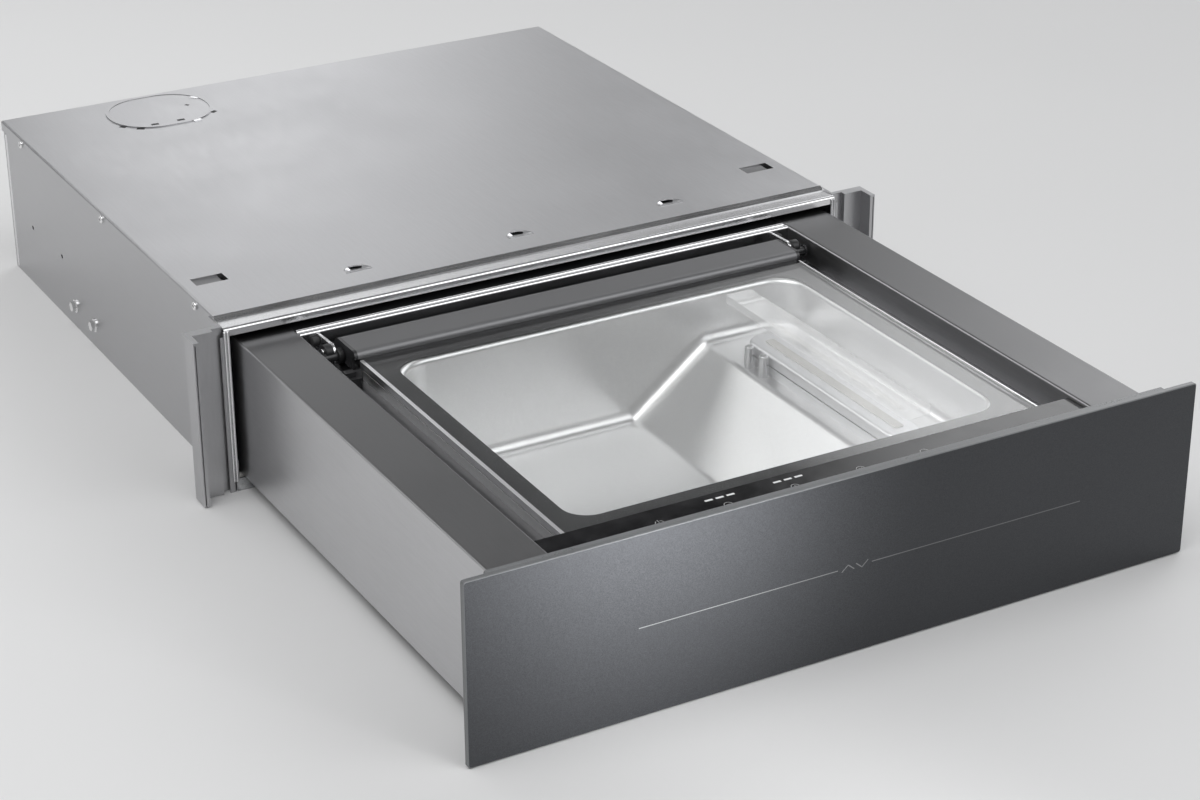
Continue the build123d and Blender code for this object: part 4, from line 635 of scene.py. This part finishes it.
def addSideBead(name, side, look):
    # across the bead the front stands out by the half circle of each ridge in turn, less far at its ends
    across = np.linspace(0.0, 1.0, 41)
    within = 2 * ((across * look["ridges"]) % 1.0) - 1
    front = -look["proud"] * np.sqrt(np.clip(1 - within ** 2, 0, 1))
    x = look["inside"] + across * (look["outside"] - look["inside"])
    behind = [(look["outside"], look["back"]), (look["inside"], look["back"])]
    outline = np.concatenate([np.stack([x, front], axis=-1), behind])
    outline[:, 0] *= side
    places = (look["low"], look["low"] + look["taper"], look["high"] - look["taper"], look["high"])
    rings = carried(outline, 2, places)
    rings[(0, -1), :, 1] = np.minimum(rings[(0, -1), :, 1] * look["endShare"], look["back"])
    addRings(name, rings, "trim_steel", "casing")


# narrow fold where the rear panel laps each side; its brighter trim steel paints the highlight along the rear
# edge
rearFoldLook = dict(
    side=277.5, sunk=0.1, proud=0.7, flatness=0.6, front=521.0, rear=526.0, low=2.0, high=131.5)


def addRearFold(name, side, look):
    # a low arch: between its front and rear edges the fold stands out by a half wave to the power flatness
    across = np.linspace(0.0, 1.0, 13)
    x = look["side"] - look["sunk"] + look["proud"] * np.sin(np.pi * across) ** look["flatness"]
    y = look["front"] + across * (look["rear"] - look["front"])
    outline = np.stack([x, y], axis=-1)
    outline[:, 0] *= side
    addRings(name, carried(outline, 2, (look["low"], look["high"])), "trim_steel", "casing")


# tongues in the two pockets of the top, in a darker steel that paints the shade in the pockets, which leave a
# slot at their right ends
tongueLook = dict(
    width=22.6,
    length=14.1,
    top=141.3,
    drop=0.7,
    bend=1.4,
    sag=0.15,
    thick=0.5,
    places=((-255.5, 91.0), (251.0, 84.5)),
)


def addTongues(look):
    # each tongue falls by its drop times the way to the right to the power bend, and sags along its middle
    across, along = np.meshgrid(np.linspace(-0.5, 0.5, 13), np.linspace(-0.5, 0.5, 5), indexing="ij")
    fall = look["drop"] * (across + 0.5) ** look["bend"]
    height = look["top"] - fall - look["sag"] * np.cos(np.pi * along)
    upper = np.stack([across * look["width"], along * look["length"], height], axis=-1)
    for number, place in enumerate(look["places"]):
        top = upper + (*place, 0.0)
        ring = np.concatenate([top, (top - (0, 0, look["thick"]))[:, ::-1]], axis=1)
        addRings(f"pocketTongue{number + 1}", ring, "paintedPocketShade", "casing")


# pressed corners of the three louvres, which leave a short opening right of each one's middle
louvreLook = dict(
    places=(-143.0, 3.0, 146.0),
    y=49.5,
    halfWidth=11.5,
    length=11.0,
    tilt=15.0,
    edge=0.2,
    reach=3.6,
    top=141.86,
    lift=0.1,
    thick=0.5,
    corners=dict(Right=(50.0, 1.0), Left=(116.0, 179.0)),
)


def addLouvreCorners(look):
    # between two angles each corner falls from the ellipse's rim to the tilted tab a reach further in
    fall = math.tan(math.radians(look["tilt"]))
    for number, x in enumerate(look["places"]):
        for word, (start, stop) in look["corners"].items():
            angle = np.radians(np.linspace(start, stop, 24))
            rim, inner = [np.stack([x + (look["halfWidth"] - inset) * np.cos(angle),
                                    look["y"] + (look["length"] - inset) * np.sin(angle)], axis=-1)
                          for inset in (look["edge"], look["reach"])]
            high = np.full_like(angle, look["top"])
            low = high - (inner[:, 1] - look["y"]) * fall + look["lift"]
            edges = ((rim, high), (inner, low), (inner, low - look["thick"]), (rim, high - look["thick"]))
            rings = np.stack([np.column_stack([flat, height]) for flat, height in edges], axis=1)
            addRings(f"louvre{word}{number + 1}", rings, "casing_steel", "casing")


# slots and bridges round the knock-out: the slots are near-black bars that paint the shade in the slits of
# the sheet and the plate; the bridges stand as high as the bead, in the brighter trim steel that partly
# paints their highlight
knockoutMarks = {
    "knockoutSlotsOuter": dict(
        top=142.05, depth=0.2, width=4.4, bevel=0.08, finish="paintedRecessShade", slot="black_plastic",
        slots=(((-189.6, 462.6), (-185.6, 457.6)), ((-178.4, 449.4), (-172.0, 445.8)),
               ((-103.0, 455.8), (-98.0, 459.0)))),
    "knockoutSlotsInner": dict(
        top=142.45, depth=0.2, width=4.0, bevel=0.08, finish="paintedRecessShade", slot="black_plastic",
        slots=(((-163.6, 451.5), (-156.6, 450.7)), ((-138.8, 450.9), (-131.6, 450.7)),
               ((-116.6, 485.0), (-114.2, 486.8)))),
    "knockoutBridges": dict(
        top=142.75, depth=0.8, width=3.6, bevel=0.08, finish="trim_steel", slot="trim_steel",
        slots=(((-104.6, 505.0), (-99.6, 498.2)), ((-126.2, 442.2), (-118.4, 443.6)))),
}


def addKnockoutMarks(name, look):
    # straight bars that reach from their depth up to their top
    top = look["top"]
    bars, faces = strokes(look["slots"], look["width"], 2, top - look["depth"], top)
    addMesh(name, bars, faces, look["finish"], "casing", look["bevel"])


# crossed recesses in the heads of the casing's screws, drawn as near-black bars that paint the shade inside
# them
recessLook = dict(
    width=0.8,
    reach=1.7,
    proud=0.02,
    depth=0.4,
    sideFace=280.5,
    sideScrews=((58.4, 137.0), (267.4, 137.0), (474.7, 137.0)),
    rearFace=533.0,
    rearScrews=((-200.0, 137.0), (-70.0, 137.0), (70.0, 137.0), (200.0, 137.0)),
)


def addRecesses(name, screws, axis, face, look):
    # each recess is an upright and a level bar across the head's middle, on the face across that axis
    middle = np.asarray(screws, float)[:, None, :]
    reach = np.array([[(-1, 0), (1, 0)], [(0, -1), (0, 1)]]) * look["reach"]
    ends = (middle[:, None] + reach[None]).reshape(-1, 2, 2)
    outward = math.copysign(1.0, face)
    low, high = sorted((face - outward * look["depth"], face + outward * look["proud"]))
    bars, faces = strokes(ends, look["width"], axis, low, high)
    addMesh(name, bars, faces, "paintedRecessShade", "casing")


addLidPrint(lidPrintLook)
addFrontPane(frontPaneLook)
addFrontLine(frontLineLook, frontPaneLook["face"])
addTouchMarks(touchLook)
addTongues(tongueLook)
addLouvreCorners(louvreLook)
for name, look in knockoutMarks.items():
    addKnockoutMarks(name, look)
lugPieces = []
for word, side in (("Left", -1), ("Right", 1)):
    addLidTrim(word, side, lidTrimLook)
    lugPieces += addHingeEnd(word, side, hingeEndLook)
    addSideBead("sideBead" + word, side, sideBeadLook)
    addRearFold("rearFold" + word, side, rearFoldLook)
    sideFace = side * recessLook["sideFace"]
    addRecesses("sideRecesses" + word, recessLook["sideScrews"], 0, sideFace, recessLook)
addRecesses("rearRecesses", recessLook["rearScrews"], 1, recessLook["rearFace"], recessLook)
for piece in lugPieces:
    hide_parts("hinge_lugs")
print("new pieces added")


# floor, world and lamps: glows are soft bright places in the sky, each with its turn from straight ahead
# (the rear), its height above the horizon and its reach, in degrees; a strength below 0 is a dark card, but
# the sky never gets darker than darkest
studioLook = dict(
    floorSize=14.0,
    floorColour=(0.78, 0.78, 0.78),
    floorRough=0.9,
    floorCloud=1.5,
    roomColour=(0.32, 0.322, 0.325),
    background=(0.80, 0.80, 0.80),
    darkest=0.15,
    glows=(
        dict(turn=21.0, height=19.0, reach=13.0, strength=6.0),
        dict(turn=145.0, height=40.0, reach=33.0, strength=6.0),
        dict(turn=56.0, height=25.0, reach=28.0, strength=7.2),
        dict(turn=9.0, height=18.0, reach=12.0, strength=-7.0),
        dict(turn=26.0, height=30.0, reach=11.0, strength=-6.5),
        dict(turn=34.0, height=13.0, reach=11.0, strength=-6.0),
        dict(turn=104.0, height=66.0, reach=17.0, strength=-4.0),
    ),
)
lamps = {
    "keyLamp": dict(place=(-1.4, -0.6, 2.9), aim=(0.0, 0.0, 0.05), size=(2.4, 2.4), power=40.0, spread=180.0),
    "frontLamp": dict(
        place=(0.06, -1.10, 0.08), aim=(-0.16, -0.44, 0.12), size=(0.12, 0.12), power=0.45, spread=30.0),
    "rampLamp": dict(
        place=(-0.75, 1.35, 1.25), aim=(0.05, -0.2, 0.07), size=(0.7, 0.7), power=3.0, spread=180.0),
}


def addFloor(look):
    half = look["floorSize"] / 2
    mesh = bpy.data.meshes.new("floor")
    corners = [(-half, -half, 0), (half, -half, 0), (half, half, 0), (-half, half, 0)]
    mesh.from_pydata(corners, [], [(0, 1, 2, 3)])
    floor = bpy.data.objects.new("floor", mesh)
    bpy.context.scene.collection.objects.link(floor)
    material, tree, shader = newMaterial("paleFloor")
    cloud = noise(tree, objectCoords(tree), look["floorCloud"], 2.0)
    pale = look["floorColour"]
    colour = ramp(tree, cloud, (0.3, shade(pale, 0.99)), (0.7, shade(pale, 1.01)))
    tree.links.new(colour, shader.inputs["Base Color"])
    setShader(shader, Roughness=look["floorRough"])
    mesh.materials.append(material)


def skyDirection(turn, height):
    # the unit vector that points at a place in the sky
    turn, height = math.radians(turn), math.radians(height)
    return math.sin(turn) * math.cos(height), math.cos(turn) * math.cos(height), math.sin(height)


def addWorld(look):
    world = bpy.data.worlds.new("paleRoom")
    bpy.context.scene.world = world
    world.use_nodes = True
    tree = world.node_tree
    tree.nodes.clear()
    looking = put(tree, "TexCoord").outputs["Generated"]
    level = 1.0
    for glow in look["glows"]:
        toward = skyDirection(glow["turn"], glow["height"])
        nearness = put(tree, "VectorMath", {0: looking, 1: toward}, operation="DOT_PRODUCT").outputs["Value"]
        edge = math.cos(math.radians(glow["reach"]))
        inputs = {"Value": nearness, "From Min": edge, "From Max": 1.0, "To Max": glow["strength"]}
        patch = put(tree, "MapRange", inputs, interpolation_type="SMOOTHSTEP").outputs[0]
        level = calc(tree, "ADD", patch, level)
    level = calc(tree, "MAXIMUM", level, look["darkest"])
    light = put(tree, "Background", {"Color": (*look["roomColour"], 1.0), "Strength": level})
    back = put(tree, "Background", {"Color": (*look["background"], 1.0), "Strength": 1.0})
    ray = put(tree, "LightPath").outputs["Is Camera Ray"]
    mix = put(tree, "MixShader", {0: ray, 1: light.outputs[0], 2: back.outputs[0]})
    out = put(tree, "OutputWorld")
    tree.links.new(mix.outputs[0], out.inputs["Surface"])


def addLamp(name, look):
    data = bpy.data.lights.new(name, "AREA")
    data.shape = "RECTANGLE"
    data.size, data.size_y = look["size"]
    data.energy = look["power"]
    data.spread = math.radians(look["spread"])
    lamp = bpy.data.objects.new(name, data)
    lamp.visible_camera = False
    bpy.context.scene.collection.objects.link(lamp)
    away = Vector(look["place"]) - Vector(look["aim"])
    lamp.matrix_world = Matrix.Translation(look["place"]) @ away.to_track_quat("Z", "Y").to_matrix().to_4x4()


addFloor(studioLook)
addWorld(studioLook)
for lampName, lampLook in lamps.items():
    addLamp(lampName, lampLook)
bpy.context.scene.view_settings.view_transform = "Standard"
print("floor, world and", len(lamps), "lamps ready")
